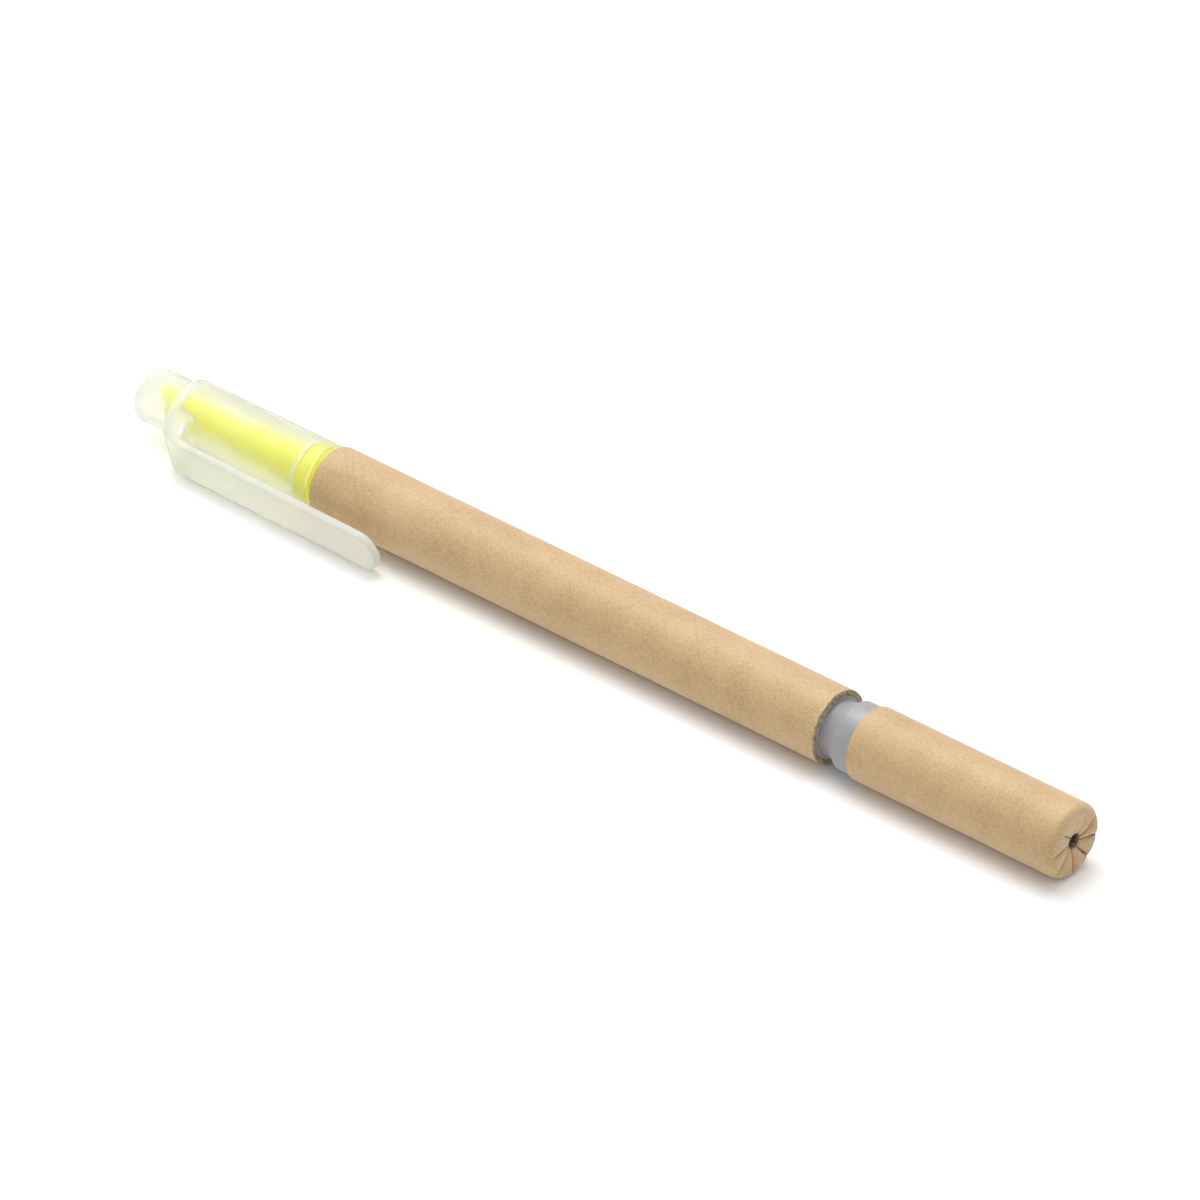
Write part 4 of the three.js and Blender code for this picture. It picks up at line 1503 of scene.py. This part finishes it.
@dataclass
class PaperCap:
    """The ballpoint's cap: a grey liner in a paper sleeve whose end is crimped shut."""

    rim_start: float = 83.3
    rim_end: float = 85.85
    rim_radius: float = 4.4
    rim_bore: float = 3.9
    liner_radius: float = 4.02
    liner_bore: float = 3.4
    rim_bore_end: float = 85.53
    bore_start: float = 86.13
    bore_end: float = 113.6
    liner_end: float = 114.4
    sleeve_start: float = 85.88
    sleeve_end: float = 116.15
    sleeve_radius: float = 4.72
    sleeve_bore: float = 4.075
    sleeve_bore_end: float = 114.7
    shoulder: float = 1.7
    dish: float = 0.3
    hole: float = 0.95
    hole_side: float = 340.0  # degrees, where the hole reaches furthest
    hole_shift: float = 0.28
    hole_fade: float = 1.2  # mm from the hole's edge in which its shift fades
    hole_floor: float = 0.3  # radius at which the folded pleats close behind the hole
    wave: float = 0.03  # depth of the waves on the side
    puff: float = 0.1  # how unevenly the pleats bulge
    crease_reach: float = 9.0  # widths from a crease's middle at which it has faded
    crease_fade: float = 3.2  # how fast a crease runs out at its end
    crease_painted_shade: float = 0.93  # share of a crease's length painted dark at the bottom, as shade
    sides: int = 480

    def build(self) -> None:
        """Builds and dresses the liner and the sleeve."""
        dress(self.liner(), Body.PAPER_CAP, "grey_plastic", SMOKE, "pen_cap_liner")
        sleeve = self.sleeve()
        dress(sleeve, Body.PAPER_CAP, "kraft_paper", CAP_KRAFT, "pen_cap_sleeve")
        sleeve.data.materials.append(CREASE_PAINTED_SHADE.material())
        # Painted shade: faces inside the hole and at the crease bottoms get the dark brown finish
        for face in sleeve.data.polygons:
            x, y, z = (face.center - PEN.origin) / MM
            if x > self.sleeve_bore_end - 0.1 and math.hypot(y, z) < self.sleeve_radius:
                inside = x < self.sleeve_end - self.dish - 0.2 and math.hypot(y, z) < 1.5
                face.material_index = int(inside or self.in_painted_crease_shade(y, z))

    def liner(self) -> Object:
        """Returns the liner, a cup with a rounded rim that the sleeve butts against."""
        corners = [
            (self.rim_start, self.rim_bore, 0.1),
            (self.rim_start, self.rim_radius, 0.4),
            (self.rim_end, self.rim_radius, 0.08),
            (self.rim_end, self.liner_radius, 0.05),
            (self.liner_end, self.liner_radius, 0.5),
            (self.liner_end, 0.0, 0.0),
            (self.bore_end, 0.0, 0.0),
            (self.bore_end, self.liner_bore, 0.5),
            (self.bore_start, self.liner_bore, 0.1),
            (self.rim_bore_end, self.rim_bore, 0.1),
            (self.rim_start, self.rim_bore, 0.0),
        ]
        outline = divide(soften(corners, closed=False), 1.5, closed=False)
        return turned("smoke_cap_liner", outline, closed=False)

    def near(self, y: float, z: float) -> list[tuple[Crease, float, float]]:
        """Finds the creases near a place on the crimped end, seen along the pen.

        Args:
            y: Towards the pen's back.
            z: Up.

        Returns:
            Each crease, the distance to it and how far along it the nearest place is, 0 to 1.
        """
        here = Vector((y, z))
        found = []
        for crease in CREASES:
            points = [
                Vector((r * math.cos(math.radians(a)), r * math.sin(math.radians(a))))
                for a, r in crease.path
            ]
            total = sum((q - p).length for p, q in zip(points, points[1:]))
            passed = 0.0
            best = (math.inf, 0.0)
            for p, q in zip(points, points[1:]):
                line = q - p
                t = max(0.0, min(1.0, (here - p).dot(line) / line.length_squared))
                gap = (here - p - line * t).length
                best = min(best, (gap, (passed + t * line.length) / total))
                passed += line.length
            if best[0] < self.crease_reach * crease.width:
                found.append((crease, *best))
        return found

    def fold(self, y: float, z: float) -> float:
        """Works out how deep the creases are at a place on the crimped end.

        Args:
            y: Towards the pen's back.
            z: Up.

        Returns:
            The depth of the deepest: a sharp fold in a rounded valley that runs out at its end.
        """
        deepest = 0.0
        for crease, gap, run in self.near(y, z):
            taper = min(1.0, self.crease_fade * (1 - run) + 0.05)
            # A sharp fold, its rounded sides and the wide valley round them
            shape = sum(
                part * math.exp(-((gap / (spread * crease.width)) ** 2))
                for part, spread in ((0.5, 1.0), (0.3, 3.5), (0.2, 5.5))
            )
            deepest = max(deepest, crease.depth * taper * shape)
        return deepest

    def in_painted_crease_shade(self, y: float, z: float) -> bool:
        """Tells whether a place on the crimped end gets painted shade, at a crease's bottom.

        Args:
            y: Towards the pen's back.
            z: Up.

        Returns:
            True where the crease's bottom is painted dark as shade.
        """
        return any(
            gap < crease.shade * crease.width and run < self.crease_painted_shade
            for crease, gap, run in self.near(y, z)
        )

    def sleeve(self) -> Object:
        """Returns the paper sleeve with its crimped end."""
        start, end = self.sleeve_start, self.sleeve_end
        radius = self.sleeve_radius
        lip_r = self.hole + self.dish
        near, far = start + 0.4, end - 3.0
        outer = [
            (start, radius, 0.1),
            (near, radius, 0.0),
            (far, radius, 0.0),
            (end, radius, self.shoulder),
            (end - 0.02, (radius + lip_r) / 2 - 0.4, 0.0),
            (end - self.dish, lip_r, 0.25),
            (end - 2 * self.dish, self.hole, 0.15),
        ]
        inner = [
            (self.sleeve_bore_end + 0.35, 0.85 * self.hole, 0.2),
            (self.sleeve_bore_end + 0.12, self.hole_floor, 0.0),
            (self.sleeve_bore_end, self.hole_floor, 0.0),
            (self.sleeve_bore_end, self.sleeve_bore, 0.6),
            (start, self.sleeve_bore, 0.0),
        ]
        outline = divide(
            soften([*outer, *inner], steps=16), lambda x: 0.6 if near < x < far else 0.1
        )
        return turned("kraft_cap_sleeve", outline, self.sides, lift=self.surface)

    def surface(self, x: float, r: float, turn: float) -> Point:
        """Moves a point of the sleeve: waves on its side, creases and pleats on its end.

        Args:
            x: Along the pen.
            r: From its axis.
            turn: About it, in radians.

        Returns:
            The moved x and r.
        """
        middle = (self.sleeve_radius + self.sleeve_bore) / 2
        on_end = x > self.sleeve_bore_end + 0.05
        if not on_end and r < middle:
            return x, r
        side_wave = self.wave * (0.5 + 0.5 * ripple(x, turn, 6.0, 9.0))
        if not on_end:
            return x, r - side_wave
        # The surface's normal turns from radial on the side to axial on the end
        deep = min(1.0, max(0.0, (x - (self.sleeve_end - self.shoulder)) / self.shoulder))
        share = 1 - math.sqrt(max(0.0, 1 - deep * deep))
        towards = math.cos(turn - math.radians(self.hole_side))
        near_hole = max(0.0, 1 - max(0.0, r - self.hole) / self.hole_fade)
        r += self.hole_shift * towards * near_hole
        y, z = r * math.cos(turn), r * math.sin(turn)
        sink = self.fold(y, z)
        puff = self.puff * (0.5 + 0.5 * noise.noise(Vector((y, z, 3.0)) * 0.9))
        drop = sink + puff * share
        return x - drop * share, r - drop * (1 - share) - side_wave


@dataclass
class Studio:
    """A white table, soft light from above and behind, and the camera."""

    eye: tuple[float, float, float] = (493.475, -509.764, 450.05)  # mm, from the pen
    tilt: float = 33.41  # degrees below the horizon
    heading: float = 41.42  # degrees
    lens: float = 203.9  # mm on a sensor 36 mm wide
    sky: float = 0.37  # radiance of the room
    lamp_power: float = 8.1  # watts
    lamp_size: float = 0.75  # metres
    lamp_place: tuple[float, float, float] = (-0.2, 0.16, 0.95)  # metres, in the row frame
    table: str = "#FBFBFB"
    lift: float = 0.2  # what the open table adds to its own reflection, for the eye alone
    lift_through: float = 0.55  # painted light in its shade, seen mirrored or through plastic
    lift_reach: float = 10.0  # mm, how near the object keeps its shadow
    lift_start: float = 0.1  # share of open sky at which the table begins to get it
    lift_full: float = 0.54  # share of open sky from which it gets all of it

    def build(self) -> None:
        """Builds the camera, the table, the room and the lamp."""
        self.camera()
        self.floor()
        self.room()
        self.lamp()
        bpy.context.scene.view_settings.view_transform = "Standard"

    def camera(self) -> None:
        """Sets the camera at the photograph's viewing angle."""
        data = bpy.data.cameras.new("camera")
        data.lens = self.lens
        data.sensor_width = 36.0
        data.clip_start = 0.01
        data.clip_end = 50.0
        camera = bpy.data.objects.new("camera", data)
        camera.location = PEN.at(*self.eye)
        camera.rotation_euler = (math.radians(90 - self.tilt), 0.0, math.radians(self.heading))
        bpy.context.scene.collection.objects.link(camera)
        bpy.context.scene.camera = camera

    def seen(self, tree: NodeTree) -> tuple[NodeSocket, NodeSocket]:
        """Adds nodes that tell what light path asks for a colour.

        Args:
            tree: The material's tree.

        Returns:
            A value of 1 for what the eye sees straight, and one for what it sees mirrored or
            through plastic.
        """
        path = add(tree, "ShaderNodeLightPath").node
        through = add(
            tree,
            "ShaderNodeMath",
            {"operation": "MAXIMUM"},
            {
                "Value": path.outputs["Is Glossy Ray"],
                "Value_001": path.outputs["Is Transmission Ray"],
            },
        )
        return path.outputs["Is Camera Ray"], through

    def floor(self) -> None:
        """Lays the table's surface, white all over but for the object's shadow."""
        made = bmesh.new()
        bmesh.ops.create_grid(made, x_segments=2, y_segments=2, size=3.0)
        floor = as_object("table_top", made)
        surface = bpy.data.materials.new("table_white_laminate")
        surface.use_nodes = True
        tree = surface.node_tree
        tree.nodes.clear()
        openness = add(
            tree,
            "ShaderNodeAmbientOcclusion",
            {"samples": 8},
            {"Distance": self.lift_reach * MM},
            take="AO",
        )
        straight, through = self.seen(tree)
        share = add(
            tree,
            "ShaderNodeMapRange",
            inputs={
                "Value": openness,
                "From Min": self.lift_start,
                "From Max": self.lift_full,
                "To Max": self.lift,
            },
        )
        direct = add(
            tree,
            "ShaderNodeMath",
            {"operation": "MULTIPLY"},
            {"Value": straight, "Value_001": share},
        )
        # Painted light: shut-in parts of the table glow for mirrored and through rays
        shaded = add(
            tree,
            "ShaderNodeMapRange",
            inputs={"Value": openness, "To Min": self.lift_through, "To Max": 0.0},
        )
        strength = add(
            tree,
            "ShaderNodeMath",
            {"operation": "MULTIPLY_ADD"},
            {"Value": through, "Value_001": shaded, "Value_002": direct},
        )
        shader = add(
            tree,
            "ShaderNodeBsdfPrincipled",
            inputs={
                "Base Color": linear(self.table),
                "Roughness": 0.9,
                "Specular IOR Level": 0.1,
                "Emission Color": (1.0, 1.0, 1.0, 1.0),
                "Emission Strength": strength,
            },
        )
        add(tree, "ShaderNodeOutputMaterial", inputs={"Surface": shader})
        floor.data.materials.append(surface)

    def room(self) -> None:
        """Fills the room with even light, and shows white behind the table."""
        world = bpy.data.worlds.new("white_room")
        bpy.context.scene.world = world
        world.use_nodes = True
        tree = world.node_tree
        tree.nodes.clear()
        straight, through = self.seen(tree)
        white = add(
            tree,
            "ShaderNodeMath",
            {"operation": "MAXIMUM"},
            {"Value": straight, "Value_001": through},
        )
        strength = add(
            tree, "ShaderNodeMapRange", inputs={"Value": white, "To Min": self.sky, "To Max": 1.0}
        )
        light = add(
            tree,
            "ShaderNodeBackground",
            inputs={"Color": (1.0, 1.0, 1.0, 1.0), "Strength": strength},
        )
        add(tree, "ShaderNodeOutputWorld", inputs={"Surface": light})

    def lamp(self) -> None:
        """Hangs the soft lamp."""
        data = bpy.data.lights.new("soft_box", "AREA")
        data.shape = "SQUARE"
        data.size = self.lamp_size
        data.energy = self.lamp_power
        lamp = bpy.data.objects.new("soft_box", data)
        lamp.location = self.lamp_place
        lamp.rotation_euler = (-lamp.location).to_track_quat("-Z", "Y").to_euler()
        bpy.context.scene.collection.objects.link(lamp)


def main() -> None:
    """Builds the studio and the pen, sub-assembly by sub-assembly."""
    logging.basicConfig(level=logging.INFO, format="%(name)s: %(message)s")
    Studio().build()
    for assembly in (
        PaperBarrel(),
        HighlighterModule(),
        FrostedCap(),
        BallpointModule(),
        PaperCap(),
    ):
        LOG.info("building %s", type(assembly).__name__)
        assembly.build()


if __name__ == "__main__":
    main()
